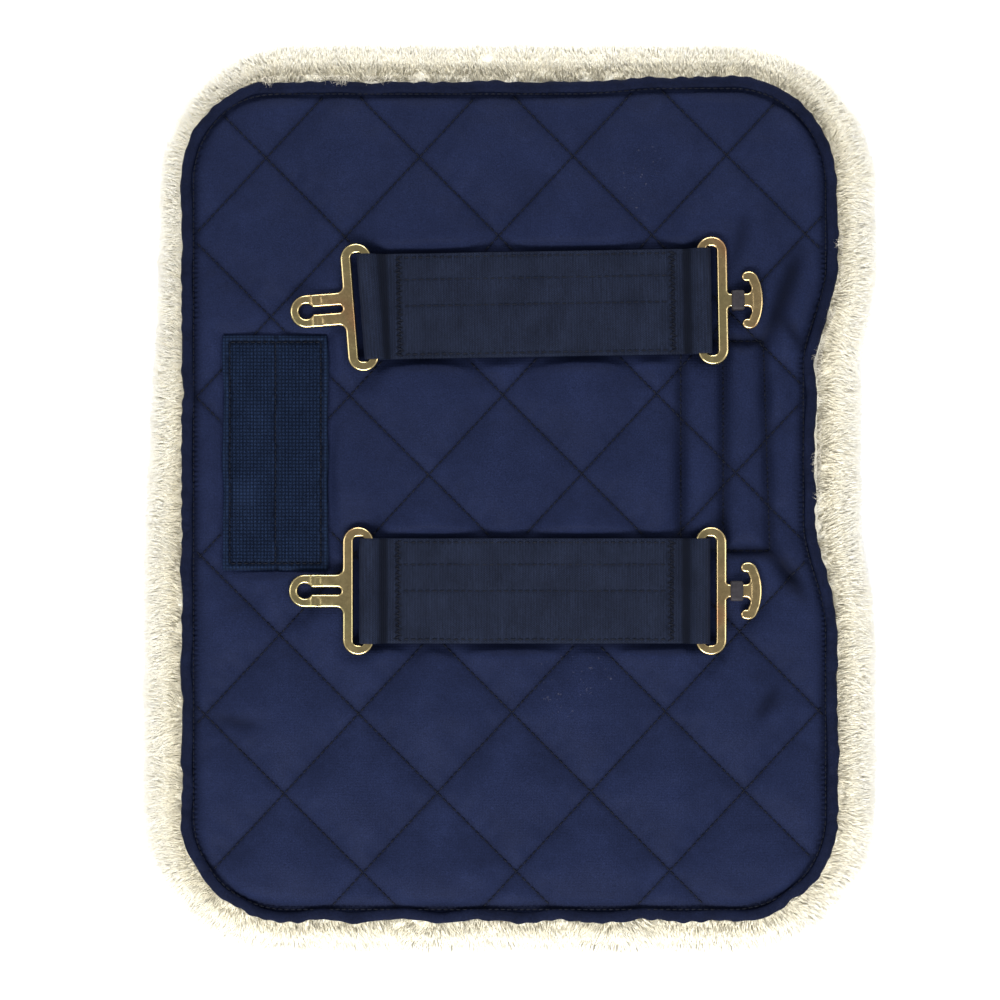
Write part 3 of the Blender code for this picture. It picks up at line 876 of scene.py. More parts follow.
def make_pad():
    sheet = quilt_sheet()
    co = vertices_of(sheet.data)
    faces = np.zeros(len(sheet.data.loops), np.int32)
    sheet.data.loops.foreach_get("vertex_index", faces)
    rise = np.maximum(co[:, 2], 0)
    tallest = np.percentile(rise, 98)
    rise = QUILT_RISE * np.clip(rise / tallest, 0, 1.25)
    points = co[:, :2]
    height = face_shape(points, rise)
    top = np.column_stack([points, SEAM_LEVEL + height])
    bottom = np.column_stack([points, np.full(len(points), BACKING_BOTTOM)])
    bpy.data.objects.remove(sheet, do_unlink=True)
    pad = close_sheet("quilted_pad", top, faces.reshape(-1, 4), bottom)
    # Painted shade on the face: in its seams and creases, along the binding, and a painted shadow
    # beside the straps
    add_attribute(pad, "shade", np.tile(painted_face_shade(points), 2))
    finish_piece(pad, QUILT, "pad", "navy_fabric", "quilted_face", "wadding", "lining_backing")
    return top


PAD_TOP = make_pad()

FACE_TREE = kdtree.KDTree(len(PAD_TOP))
for point_number, (point_x, point_y, _) in enumerate(PAD_TOP):
    FACE_TREE.insert((point_x, point_y, 0), point_number)
FACE_TREE.balance()


def face_heights(points):
    """The face's height at any points, from the three mesh points nearest to each."""
    out = np.zeros(len(points))
    for i, (x, y) in enumerate(points):
        found = FACE_TREE.find_n((x, y, 0), 3)
        weights = [1 / (distance + 1e-5) for _, _, distance in found]
        out[i] = sum(w * PAD_TOP[n, 2] for w, (_, n, _) in zip(weights, found)) / sum(weights)
    return out


# ---------------------------------------------------------------- stitching

def stitch_paths(start, end, pitch, length, level):
    """Short threads along a straight line: each arches over the cloth and dips in at its ends."""
    start, end = np.array(start, float), np.array(end, float)
    total = np.linalg.norm(end - start)
    count = max(1, int(total / pitch))
    heading = (end - start) / total
    steps = np.array((-0.5, -0.38, 0.0, 0.38, 0.5)) * length
    rise = np.array((-0.55, 0.35, 1.0, 0.35, -0.55)) * STITCH_LIFT
    paths = []
    for number in range(count):
        middle = start + heading * (number + 0.5) * total / count
        flat = middle + steps[:, None] * heading
        heights = level(flat) if callable(level) else np.full(5, level)
        heights = np.full(5, heights.mean()) * 0.35 + heights * 0.65 + rise
        paths.append(np.column_stack([flat, heights]))
    return paths


def make_threads(name, paths, radius):
    """Stitches that are sewn through the pad, as one piece."""
    finish_piece(many_tubes(name, paths, radius), THREAD, "pad", "navy_thread")


def seam_pieces():
    """Every straight piece of quilting seam that shows on the face."""
    pieces = []
    inner = PANEL - loop_normals(PANEL) * 6.5 * MM
    for number in range(-9, 10):
        for first, along in ((QUILT_ORIGIN + number * QUILT_UP, QUILT_DOWN),
                             (QUILT_ORIGIN + number * QUILT_DOWN, QUILT_UP)):
            steps = np.arange(-10, 10, QUILT_PITCH / np.linalg.norm(along))
            line = first + steps[:, None] * along
            shows = inside(line, inner)
            shows &= rectangle_distance(line, *FRONT_TAPE) > 0
            for strap in FRAMES.values():
                shows &= strap_distance(line, strap, FOLD_REACH - 2 * MM) > 0
            pieces += [(line[i], line[i + 1]) for i in np.flatnonzero(shows[:-1] & shows[1:])]
    return pieces


def make_quilting():
    paths = []
    for start, end in seam_pieces():
        paths += stitch_paths(start, end, QUILT_PITCH, 2.3 * MM, face_heights)
    for start, end in PATCH_SEAMS:
        paths += stitch_paths(start, end, *TAPE_STITCH, face_heights)
    make_threads("quilting_thread", paths, FINE_THREAD)


make_quilting()


# ---------------------------------------------------------------- the binding

# The folded tape's section, in mm: distance in from the panel's edge, and height
BINDING_SECTION = [(5.5, 23.7), (5.3, 24.6), (4.0, 25.3), (2.2, 25.5), (0.8, 24.9), (0.05, 23.3),
                   (0.0, 21.0), (0.1, 18.6), (0.9, 16.6), (2.4, 15.6), (4.2, 15.3), (5.4, 15.5),
                   (5.2, 16.3), (3.0, 16.5), (1.4, 17.8), (0.9, 20.5), (1.2, 23.2), (3.2, 24.1)]


def make_binding():
    outline = rounded_outline(PANEL_LOW, PANEL_HIGH, PANEL_CORNER, PANEL_WAIST, dip=PANEL_DIP,
                              step=1.1 * MM)
    normals = loop_normals(outline)
    swell = 1 + 0.16 * ripple(outline, 7 * MM, 21) + 0.10 * ripple(outline, 3 * MM, 22)
    sway = 0.35 * MM * ripple(outline, 26 * MM, 23)
    rings = []
    for inset, height in BINDING_SECTION:
        out = sway - inset * MM
        lifted = height * MM
        if height > 24.2:
            lifted = 24.0 * MM + (lifted - 24.0 * MM) * swell
        lifted = np.full(len(outline), lifted) + 0.12 * MM * ripple(outline, 12 * MM, 24)
        if inset < 1.3:
            out = out + 0.25 * MM * ripple(outline, 9 * MM, 25)
        rings.append(np.column_stack([outline + normals * out[:, None], lifted]))
    binding = ring_loft("binding", rings[::-1])
    finish_piece(binding, BINDING, "pad", "navy_fabric", "edge_binding")
    line = outline - normals * 5.9 * MM
    travelled = travel(line)
    length = 2.1 * MM
    paths = []
    for at in np.arange(0, travelled[-1] - 3 * MM, 3.0 * MM):
        ends = at_distances(line, travelled, (at, at + length))
        paths += stitch_paths(*ends, length, length, 24.15 * MM)
    make_threads("binding_thread", paths, 0.27 * MM)


make_binding()


# ---------------------------------------------------------------- the fleece

CORE = PILE + loop_normals(PILE) * BODY_GROW


def body_section(turn):
    """The core's rim section, from 0 under the binding, over the edge, to 1 on the underside.

    Gives how far in from the edge, the height and the two parts of the outward direction.
    """
    inner, over = 0.46, 0.90  # where the rounded edge starts and ends
    flat = np.clip(turn / inner, 0, 1)
    angle = math.pi / 2 - np.clip((turn - inner) / (over - inner), 0, 1) * math.pi
    beyond = np.clip((turn - over) / (1 - over), 0, 1)
    inset = BODY_ROUND * (1 - np.cos(angle)) + (1 - flat) * 9 * MM + beyond * 6 * MM
    half = np.where(angle > 0, BODY_TOP - BODY_MIDDLE, BODY_MIDDLE - BODY_BOTTOM)
    return inset, BODY_MIDDLE + half * np.sin(angle), np.cos(angle), np.sin(angle)


def make_fleece_body():
    """The dense part of the pile: a bumpy pillow with a recess round the reverse tape."""
    points, quads, _, rim = lattice(CORE.min(0), CORE.max(0), np.zeros(2), np.array((1.0, 0)),
                                    np.array((0, 1.0)), 1 / (2.2 * MM), CORE)
    depth = to_outline(points, CORE)[0]
    depth[rim] = 0
    round_edge = np.sqrt(1 - (1 - np.clip(depth / BODY_ROUND, 0, 1)) ** 2)
    bumps = ripple(points, 11 * MM, 31, 20) + 0.6 * ripple(points, 5 * MM, 32, 20)
    hidden = inside(points, PANEL - loop_normals(PANEL) * 2 * MM)
    top = BODY_MIDDLE + (BODY_TOP - BODY_MIDDLE) * round_edge
    top += np.where(hidden, 0, 0.45 * MM * bumps * round_edge)
    top = np.where(hidden, np.minimum(top, BODY_TOP), top)
    bottom = BODY_MIDDLE - (BODY_MIDDLE - BODY_BOTTOM) * round_edge + 0.5 * MM * bumps * round_edge
    middle, half = middle_and_half(REVERSE_LOW, REVERSE_HIGH)
    recess = rectangle_distance(points, middle, half + 1 * MM)
    pressed = REVERSE_HIGH[2] + 0.4 * MM
    bottom = np.where(recess < 0, pressed, np.maximum(bottom, 0.8 * MM))
    body = close_sheet("fleece_body", np.column_stack([points, top]), quads,
                       np.column_stack([points, bottom]))
    finish_piece(body, FLEECE, "pad", "cream_fleece", "fleece_pile")


def clumped(roots, tips, size, pull, rng):
    """Tips drawn towards the middle of their clump's tips, as plush fibres bunch together."""
    cells = np.floor(roots / size + ripple(roots, 3 * size, 41, 8)[:, None] * 0.25).astype(int)
    order = np.unique(cells, axis=0, return_inverse=True)[1].ravel()
    count = order.max() + 1
    size_of = np.bincount(order, minlength=count)[:, None]
    middle = np.stack([np.bincount(order, tips[:, k], count) for k in range(3)], axis=1) / size_of
    share = pull * rng.uniform(0.5, 1.0, len(tips))[:, None]
    return tips * (1 - share) + middle[order] * share


def make_fibres(name, roots, tips, bends, width, material):
    """Thin tapered three-sided fibres, each with one bend."""
    count = len(roots)
    along = unit(tips - roots)
    helper = np.where(np.abs(along[:, 2:3]) > 0.9, (1.0, 0, 0), (0, 0, 1.0))
    side = unit(np.cross(along, helper))
    other = np.cross(along, side)
    middle = (roots + tips) / 2 + bends
    rings = []
    for centre, size in ((roots, 1.0), (middle, 0.75)):
        for k in range(3):
            angle = 2 * math.pi * k / 3
            radius = (width * size / 2)[:, None]
            rings.append(centre + radius * (math.cos(angle) * side + math.sin(angle) * other))
    vertices = np.stack([*rings, tips], axis=1).reshape(-1, 3)
    base = np.arange(count)[:, None] * 7
    quads = np.concatenate([base + np.array([k, (k + 1) % 3, 3 + (k + 1) % 3, 3 + k])
                            for k in range(3)])
    points = np.concatenate([base + np.array([3 + k, 3 + (k + 1) % 3, 6]) for k in range(3)]
                            + [base + np.array([2, 1, 0])])
    fibres = make_mesh(name, vertices, [quads, points])
    return finish_piece(fibres, material, "pad", "cream_fleece")


def along_outline(outline, distances):
    """Points and outward normals at distances along a closed line."""
    closed = np.vstack([outline, outline[:1]])
    normals = loop_normals(outline)
    normals = np.vstack([normals, normals[:1]])
    travelled = travel(closed)
    distances = distances % travelled[-1]
    return (at_distances(closed, travelled, distances),
            unit(at_distances(normals, travelled, distances)))


def rim_fibres(count, seed, zone):
    """Roots and tips of the fibres that stand out round the edge, lying mostly outward."""
    rng = np.random.default_rng(seed)
    point, normal = along_outline(CORE, rng.uniform(0, closed_length(CORE), count))
    inset, heights, out, up = body_section(rng.uniform(*zone, count))
    roots = np.column_stack([point - normal * (inset + 0.5 * MM)[:, None], heights])
    lean = 0.80 + 0.15 * rng.normal(size=count)
    rise = 0.34 * np.clip(up, -0.6, 1) + 0.12 * rng.normal(size=count)
    outward = np.column_stack([normal * (out * 0.6 + lean)[:, None],
                               rise + 0.06 * ripple(roots, 13 * MM, 42)])
    tangent = quarter_turned(normal)
    sway = 0.24 * ripple(roots, 30 * MM, 43) + 0.06 * ripple(roots, 9 * MM, 44)
    outward[:, :2] += tangent * (sway + 0.12 * rng.normal(size=count))[:, None]
    outward = unit(outward)
    shorter = 1 - 0.35 * np.clip(normal[:, 1], 0, 1)
    uneven = 1 + 0.12 * rng.normal(size=count) + 0.07 * ripple(roots, 16 * MM, 5)
    length = FIBRE_LENGTH * shorter * uneven
    return rng, roots, roots + outward * length[:, None]


# Where each piece's fibres grow on the core's rim section, and their colour: yellower inside
RIM_ZONES = [((0.40, 0.90), 0), ((0.00, 0.50), 2), ((0.20, 0.60), 2), ((0.30, 0.70), 0),
             ((0.40, 0.75), 0), ((0.50, 0.85), 1), ((0.55, 0.90), 1), ((0.60, 1.00), 0)]


def make_rim(zones, per_piece):
    for number, (zone, colour) in enumerate(zones):
        rng, roots, tips = rim_fibres(per_piece, FUR_SEED + 10 * number, zone)
        tips = clumped(roots, tips, *RIM_CLUMP, rng)
        tips[:, 2] = np.maximum(tips[:, 2], 0.6 * MM)
        bends = rng.normal(size=roots.shape) * 0.35 * MM
        bends[:, 2] += 0.5 * MM
        width = rng.uniform(0.26, 0.42, per_piece) * MM
        make_fibres(f"fleece_rim_{number}", roots, tips, bends, width, FIBRES[colour])


def make_strays(count):
    """Fibres that were caught in front of the binding: where the edge is drawn in, and top left."""
    rng = np.random.default_rng(FUR_SEED + 900)
    around = rng.uniform(0, closed_length(PANEL) * 0.99, count * 12)
    point, normal = along_outline(PANEL, around)
    drawn_in = (point[:, 0] > 120 * MM) & (np.abs(point[:, 1] - 62 * MM) < 62 * MM)
    corner = (point[:, 1] > 185 * MM) & (np.abs(point[:, 0] + 84 * MM) < 38 * MM)
    tuft = ripple(point, 17 * MM, 81) + 0.6 * ripple(point, 6 * MM, 83)
    tufted = rng.random(len(point)) < np.clip(0.20 + 0.45 * tuft, 0.04, 1)
    chosen = np.flatnonzero((drawn_in | corner) & tufted)[:count]
    point, normal, tuft = point[chosen], normal[chosen], tuft[chosen]
    tangent = quarter_turned(normal)
    size = len(chosen)
    spread = tangent * rng.normal(size=(size, 1)) * 2.6 * MM
    roots = np.column_stack([point + normal * 1.4 * MM + spread, rng.uniform(16, 19, size) * MM])
    humped = np.clip(tuft - 0.3, 0, 1.2)
    reach = ((0.2 + 2.6 * humped) * MM + rng.uniform(-0.6, 1.0, size) * MM)[:, None]
    heights = rng.uniform(21.0, 27.4, size) * MM
    over = smooth_step(heights, 24.8 * MM, 26.0 * MM)[:, None]
    reach = reach * over - 1.0 * MM * (1 - over)
    sway = rng.normal(size=(size, 1)) * 1.3 * MM + 1.2 * MM * ripple(roots, 20 * MM, 82)[:, None]
    tips = np.column_stack([point - normal * reach + tangent * sway, heights])
    tips = clumped(roots, tips, *STRAY_CLUMP, rng)
    bends = np.column_stack([normal * 1.6 * MM, np.full(size, 3.4 * MM)])
    width = rng.uniform(0.14, 0.24, size) * MM
    make_fibres("fleece_strays", roots, tips, bends, width, STRAY_FIBRE_SHADED)


def make_underside(count):
    """Fibres over the whole underside, pointing down, as the pad lies on them."""
    outline = PILE + loop_normals(PILE) * (BODY_GROW - 6 * MM)
    middle, half = middle_and_half(REVERSE_LOW, REVERSE_HIGH)
    rng = np.random.default_rng(FUR_SEED + 500)
    points = rng.uniform(outline.min(0), outline.max(0), (int(count * 1.3), 2))
    keep = inside(points, outline) & (rectangle_distance(points, middle, half + 1.5 * MM) > 0)
    points = points[keep][:count]
    roots = np.column_stack([points, np.full(len(points), 3.6 * MM)])
    sway = np.stack([ripple(points, 22 * MM, 51), ripple(points, 22 * MM, 52)], axis=1)
    lean = 2.0 * MM * sway + 0.9 * MM * rng.normal(size=points.shape)
    tips = np.column_stack([points + lean, rng.uniform(0.15, 0.9, len(points)) * MM])
    tips = clumped(roots, tips, *UNDER_CLUMP, rng)
    bends = rng.normal(size=roots.shape) * 0.3 * MM
    width = rng.uniform(0.7, 1.1, len(points)) * MM
    make_fibres("fleece_under_0", roots, tips, bends, width, FIBRES[0])


make_fleece_body()
make_rim(RIM_ZONES, RIM_FIBRES)
make_strays(MOST_STRAYS)
make_underside(UNDER_FIBRES)


# ---------------------------------------------------------------- straps

# The webbing's lengthwise grooves: place across it, from -1 to 1, and share of the full depth
WEB_GROOVES = ((0.0, 1.0), (-0.5, 0.5), (0.5, 0.5), (-0.92, 0.8), (0.92, 0.8))
EDGE_WIDTH = 0.5 * MM  # of the rounded edge on each side of a web


def rib_height(along, across):
    """The webbing's relief: cross ribs, with lengthwise grooves that flatten them."""
    ribs = 0.5 + 0.5 * np.cos(2 * math.pi * along / RIB_PITCH)
    half = WEB_WIDTH / 2
    grooves = sum(depth * bell(across - centre * half, 0.6 * MM) for centre, depth in WEB_GROOVES)
    return 0.17 * MM * ribs * (1 - 0.5 * grooves) - 0.16 * MM * grooves


def section_across(thickness, layers=1):
    """Half-round edged section of a web, as (across, height over its middle) round the loop."""
    flat = WEB_WIDTH / 2 - EDGE_WIDTH
    layer = thickness / layers
    turn = np.linspace(math.pi / 2, -math.pi / 2, 7)[1:-1]
    edges = {side: [(side * (flat + EDGE_WIDTH * math.cos(a)),
                     thickness / 2 - layer * (number + 0.5) + layer / 2 * math.sin(a))
                    for number in range(layers) for a in turn] for side in (-1, 1)}
    points = [(x, thickness / 2) for x in np.linspace(flat, -flat, 47)] + edges[-1]
    points += [(x, -thickness / 2) for x in np.linspace(-flat, flat, 12)] + edges[1][::-1]
    return np.array(points)


def sweep_web(name, path, thickness, layers=1, skew=None, shade=None):
    """A web whose middle line runs along path, a list of (along, height) points.

    skew(along) gives how far its section leans along it, and shade(distance) how much painted shade
    it gets.
    """
    path = np.asarray(path)
    section = section_across(thickness, layers)
    travelled = travel(path)
    steps = max(8, int(travelled[-1] / (0.31 * MM)))
    at = np.linspace(0, travelled[-1], steps + 1)
    line = at_distances(path, travelled, at)
    normal = quarter_turned(unit(np.gradient(line, axis=0)))
    across, height = section[:, 0], section[:, 1]
    relief = rib_height(at[:, None], across[None, :]) * np.sign(height)[None, :]
    relief *= (np.abs(height) > 0.45 * thickness)[None, :]
    lift = height[None, :] + relief
    x = line[:, None, 0] + normal[:, None, 0] * lift
    z = line[:, None, 1] + normal[:, None, 1] * lift
    y = np.broadcast_to(across[None, :], x.shape)
    if skew is not None:
        x = x + skew(x) * y
    count = len(section)
    vertices = np.stack([x, y, z], axis=-1).reshape(-1, 3)
    quads = grid_quads(steps + 1, count, wrap=True)[:, FLIPPED]
    caps = np.array([np.arange(count)[::-1], steps * count + np.arange(count)])
    web = make_mesh(name, vertices, [quads, caps])
    shaded = np.zeros(len(at)) if shade is None else shade(at)
    add_attribute(web, "along", np.repeat(at, count))
    add_attribute(web, "across", np.tile(across, len(at)))
    add_attribute(web, "shade", np.repeat(shaded, count))
    return web


def loop_path(start):
    """Middle line of the folded end: off the sewn part, down, over the bar, round and back."""
    half = WEB_THICKNESS / 2
    hinge = FRAMES["lower"]["hinge"]
    radius = BAR_ROOM + half
    top = STRAP_TOP - half
    dip = (hinge + DIP_REACH, top - 0.75 * MM)
    lead = [(start, top), (hinge - 3.8 * MM, top), (hinge - 2.2 * MM, top - 0.35 * MM),
            (hinge - 0.6 * MM, top - 0.1 * MM), (hinge + 1.4 * MM, top - 0.45 * MM), dip]
    rise = math.atan2(BAR_HEIGHT - dip[1], BAR_REACH - dip[0])
    reach = math.hypot(BAR_HEIGHT - dip[1], BAR_REACH - dip[0])
    tangent = rise + math.pi - math.acos(radius / reach)
    turn = [(BAR_REACH + radius * math.cos(a), BAR_HEIGHT + radius * math.sin(a))
            for a in np.linspace(tangent, -math.pi / 2, 30)]
    under = BAR_HEIGHT - radius
    back = [(hinge + 6 * MM, under - 0.3 * MM), (hinge + 1.5 * MM, under - 0.5 * MM),
            (start, under)]
    return smooth_path(lead + turn + back)


def painted_dip_shade(at):
    """Painted shade where the web drops from the bar to its stitching, as light hardly gets in
    there.
    """
    middle = 4.6 * MM + DIP_REACH + 2.2 * MM
    return 0.75 * bell(at - middle, 3.1 * MM, 4)


def smooth_path(points, passes=3):
    """Round a line's corners by cutting them."""
    points = np.asarray(points, float)
    for _ in range(passes):
        a, b = points[:-1], points[1:]
        cut = np.stack([a * 0.75 + b * 0.25, a * 0.25 + b * 0.75], axis=1).reshape(-1, 2)
        points = np.vstack([points[:1], cut, points[-1:]])
    return points


def into_row(obj, strap, turned=0.0):
    """Move a piece from its strap's frame to its place; the left end's pieces are turned round."""
    co = placed(vertices_of(obj.data), strap["centre"], strap["angle"] + turned)
    set_vertices(obj.data, co)


def strap_threads(name, strap, hinge):
    """Four rows of stitches along the sewn part of a strap."""
    paths = []
    level = STRAP_TOP + 0.02 * MM
    half = WEB_WIDTH / 2
    reach = hinge - 4.5 * MM
    for across in (0.0, half / 2, half - 2.0 * MM, -half + 2.0 * MM):
        paths += stitch_paths((-reach, across), (reach, across), 3.3 * MM, 1.9 * MM, level)
    thread = many_tubes(name + "_strap_thread", paths, 0.28 * MM)
    into_row(thread, strap)
    finish_piece(thread, THREAD, "pad", "navy_thread")


def zigzag_path(hinge):
    """The bartack: thread that crosses to and fro over the end of the sewn web, a little uneven."""
    rng = np.random.default_rng(31)
    count = 35
    width = WEB_WIDTH - 2.4 * MM
    points = []
    for i in range(count):
        across = width * (i / (count - 1) - 0.5) + 0.25 * MM * rng.normal()
        along = hinge - (0.7 if i % 2 else 4.1) * MM + 0.25 * MM * rng.normal()
        points.append((along, across, STRAP_TOP - 0.10 * MM))
        if i < count - 1:
            following = width * ((i + 1) / (count - 1) - 0.5)
            points.append((hinge - 2.4 * MM, (across + following) / 2, STRAP_TOP + 0.34 * MM))
    return np.array(points)


def make_strap(name):
    strap = FRAMES[name]
    hinge = strap["hinge"]
    inner = hinge - 4.6 * MM
    thickness = STRAP_TOP - ON_FACE
    middle = (STRAP_TOP + ON_FACE) / 2
    wave = [(x, middle + 0.18 * MM * math.sin(x * 2 * math.pi / (47 * MM) + len(name)))
            for x in np.linspace(-inner, inner, 60)]
    wave[0], wave[-1] = (-inner, middle), (inner, middle)
    web = sweep_web(name + "_strap_web", wave, thickness, 2)
    into_row(web, strap)
    finish_piece(web, WEBBING, "pad", "navy_webbing", name + "_strap")
    strap_threads(name, strap, hinge)
    for side in ("left", "right"):
        make_strap_end(name, side, strap, hinge, inner)


def make_strap_end(name, side, strap, hinge, inner):
    turned = math.pi if side == "left" else 0
    swing = f"{name}_{'keyhole' if side == 'left' else 'hook'}_swing"
    skew = math.tan(bar_angle(swing) - strap["angle"])

    def lean(x):
        return -skew * smooth_step(x, hinge, hinge + 7 * MM)

    end = f"{name}_{side}"
    loop = sweep_web(end + "_loop_web", loop_path(inner), WEB_THICKNESS, 1, lean, painted_dip_shade)
    into_row(loop, strap, turned)
    finish_piece(loop, WEBBING, None, "navy_webbing", end + "_loop")
    bend = placed([(hinge - 0.4 * MM, 0, STRAP_TOP), (hinge + 5 * MM, 0, STRAP_TOP)],
                  strap["centre"], strap["angle"] + turned)
    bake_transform(loop)
    zigzag = many_tubes(end + "_zigzag", [zigzag_path(hinge)], 0.25 * MM, 6)
    into_row(zigzag, strap, turned)
    finish_piece(zigzag, THREAD, "pad", "navy_thread", end + "_bartack")


for strap_name in STRAPS:
    make_strap(strap_name)


# ---------------------------------------------------------------- fittings

def mirrored(half):
    """A closed outline from its half with y above 0, whose ends lie on the X axis."""
    return half + [(x, -y) for x, y in reversed(half[1:-1])]


def ring_half(outer_edge_start):
    """Half of the ring's outer edge, from where the tongue or the hook's neck leaves it."""
    radius = (OUTER_BAR[1] + INNER_BAR_HALF) / 2
    turn = RING_LENGTH / 2 - radius
    return ([(OUTER_BAR[1], outer_edge_start)]
            + arc((OUTER_BAR[1] - radius, turn), radius, 0, math.pi, 40)
            + [(-INNER_BAR_HALF, 0.0)])


def web_slot():
    end, corner = SLOT_LENGTH / 2, 2.0 * MM
    half = [(OUTER_BAR[0], 0.0)]
    half += arc((OUTER_BAR[0] - corner, end - corner), corner, 0, math.pi / 2, 10)
    inner = 1.2 * MM
    half += arc((INNER_BAR_HALF + inner, end - inner), inner, math.pi / 2, math.pi, 6)
    return mirrored(half + [(INNER_BAR_HALF, 0.0)])


def tongue_outline():
    fillet = 3.0 * MM
    half = arc((TONGUE_TIP - TONGUE_HALF, 0), TONGUE_HALF, 0, math.pi / 2, 30)
    centre = (OUTER_BAR[1] + fillet, TONGUE_HALF + fillet)
    half += arc(centre, fillet, 1.5 * math.pi, math.pi, 12)[:-1]
    return mirrored(half + ring_half(centre[1]))


def keyhole():
    lip_y = KEY_HALF + LIP_RADIUS
    lip_x = EYE_CENTRE - math.sqrt((EYE_RADIUS + LIP_RADIUS) ** 2 - lip_y ** 2)
    meet = math.atan2(lip_y, lip_x - EYE_CENTRE)
    half = arc((EYE_CENTRE, 0), EYE_RADIUS, 0, meet, 28)
    half += arc((lip_x, lip_y), LIP_RADIUS, meet - math.pi, -math.pi / 2, 10)[1:]
    half += arc((KEY_START + KEY_HALF, 0), KEY_HALF, math.pi / 2, math.pi, 12)
    return mirrored(half)


def t_head_outline():
    crown_angle, shoulder_angle, arm_angle = (math.radians(a) for a in (25, 120, 290))
    crown_radius, shoulder_radius, tip_radius = 26.0 * MM, 4.6 * MM, 2.35 * MM
    crown = (HEAD_TIP - crown_radius, 0.0)
    half = arc(crown, crown_radius, 0, crown_angle, 20)[:-1]
    reach = crown_radius - shoulder_radius
    shoulder = (crown[0] + reach * math.cos(crown_angle), reach * math.sin(crown_angle))
    half += arc(shoulder, shoulder_radius, crown_angle, shoulder_angle, 16)[:-1]
    step = shoulder_radius - tip_radius
    tip = (shoulder[0] + step * math.cos(shoulder_angle),
           shoulder[1] + step * math.sin(shoulder_angle))
    half += arc(tip, tip_radius, shoulder_angle, arm_angle, 18)
    notch = (21.1 * MM, 5.3 * MM)
    half += arc(notch, notch[1] - NECK_HALF, math.radians(40), -math.pi / 2, 16)
    fillet = 1.4 * MM
    centre = (OUTER_BAR[1] + fillet, NECK_HALF + fillet)
    half += arc(centre, fillet, 1.5 * math.pi, math.pi, 10)[:-1]
    return mirrored(half + ring_half(centre[1]))


def rounded_plate(name, outlines):
    """A plate with half-rounded edges: each outline lofted over its edge, then filled."""
    vertices, quads, offset = [], [], 0
    angles = np.linspace(-math.pi / 2, math.pi / 2, 9)
    insets = METAL_ROUNDING * (1 - np.cos(angles))
    heights = (METAL_THICKNESS / 2 - METAL_ROUNDING) * np.sign(np.round(angles, 6))
    heights = heights + METAL_ROUNDING * np.sin(angles)
    loops = []
    for number, outline in enumerate(outlines):
        line = anticlockwise(np.array(outline))
        inward = -loop_normals(line) if number == 0 else loop_normals(line)
        count = len(line)
        for inset, height in zip(insets, heights):
            vertices.append(np.column_stack([line + inward * inset, np.full(count, height)]))
        around = np.arange(count)
        quads.append(grid_quads(len(angles), count, wrap=True)[:, FLIPPED] + offset)
        loops.append([offset + around, offset + (len(angles) - 1) * count + around])
        offset += count * len(angles)
    vertices = np.concatenate(vertices)
    caps = []
    for side in (0, 1):
        indices = np.concatenate([loop[side] for loop in loops])
        drawn = [[Vector(vertices[i]) for i in loop[side]] for loop in loops]
        triangles = np.array(tessellate_polygon(drawn))
        caps.append(indices[triangles])
    plate = make_mesh(name, vertices, [np.concatenate(quads), np.concatenate(caps)])
    bm = bmesh.new()
    bm.from_mesh(plate.data)
    bmesh.ops.recalc_face_normals(bm, faces=bm.faces)
    bm.to_mesh(plate.data)
    bm.free()
    return plate


def anticlockwise(line):
    after = np.roll(line, -1, axis=0)
    area = (line[:, 0] * after[:, 1] - after[:, 0] * line[:, 1]).sum()
    return line if area > 0 else line[::-1]


def onto_plate(co, outlines):
    """Points near a rounded plate's skin, moved exactly onto it."""
    flat = co[:, :2]
    best = np.full(len(co), np.inf)
    nearest = np.zeros((len(co), 2))
    within = np.zeros(len(co), bool)
    for number, outline in enumerate(outlines):
        line = np.array(outline)
        distance, foot = to_outline(flat, line)
        closer = distance < best
        best[closer], nearest[closer] = distance[closer], foot[closer]
        within = inside(flat, line) if number == 0 else within & ~inside(flat, line)
    heading = (flat - nearest) / np.maximum(best, 1e-9)[:, None]
    heading[~within] *= -1
    depth = np.where(within, best, -best)
    flank = METAL_THICKNESS / 2 - METAL_ROUNDING
    over = np.abs(co[:, 2]) - flank
    in_corner = (depth < METAL_ROUNDING) & (over > 0)
    reach = np.hypot(depth - METAL_ROUNDING, over)
    new_depth = np.where(depth < METAL_ROUNDING, 0.0, depth)
    new_depth = np.where(in_corner, METAL_ROUNDING + (depth - METAL_ROUNDING) * METAL_ROUNDING
                         / np.maximum(reach, 1e-9), new_depth)
    new_over = np.where(depth < METAL_ROUNDING, over, METAL_ROUNDING)
    new_over = np.where(in_corner, over * METAL_ROUNDING / np.maximum(reach, 1e-9), new_over)
    moved = nearest + heading * new_depth[:, None]
    moved = np.where((best > 1e-6)[:, None], moved, flat)
    return np.column_stack([moved, np.sign(co[:, 2]) * (flank + new_over)])


def cast_piece(name, outlines, relief):
    """A cast plate with rounded edges; relief gives what to add to its upper side's height."""
    cast = rounded_plate(name, outlines)
    modify(cast, "REMESH", mode="VOXEL", voxel_size=0.26 * MM)
    set_vertices(cast.data, onto_plate(vertices_of(cast.data), outlines))
    modify(cast, "SMOOTH", factor=0.5, iterations=3)
    co = vertices_of(cast.data)
    upper = smooth_step(co[:, 2], -0.2 * METAL_THICKNESS, 0.3 * METAL_THICKNESS)
    co[:, 2] += upper * relief(co[:, 0], np.abs(co[:, 1]))
    set_vertices(cast.data, co)
    shade_smooth(cast.data)
    return cast


def place_fitting(obj, swing):
    """Move a fitting from its bar's frame to its place, square to its hinge axis."""
    bar = JOINTS[swing]["pos_m"]
    co = placed(vertices_of(obj.data), bar[:2], swing_angle(swing))
    co[:, 2] += bar[2]
    set_vertices(obj.data, co)


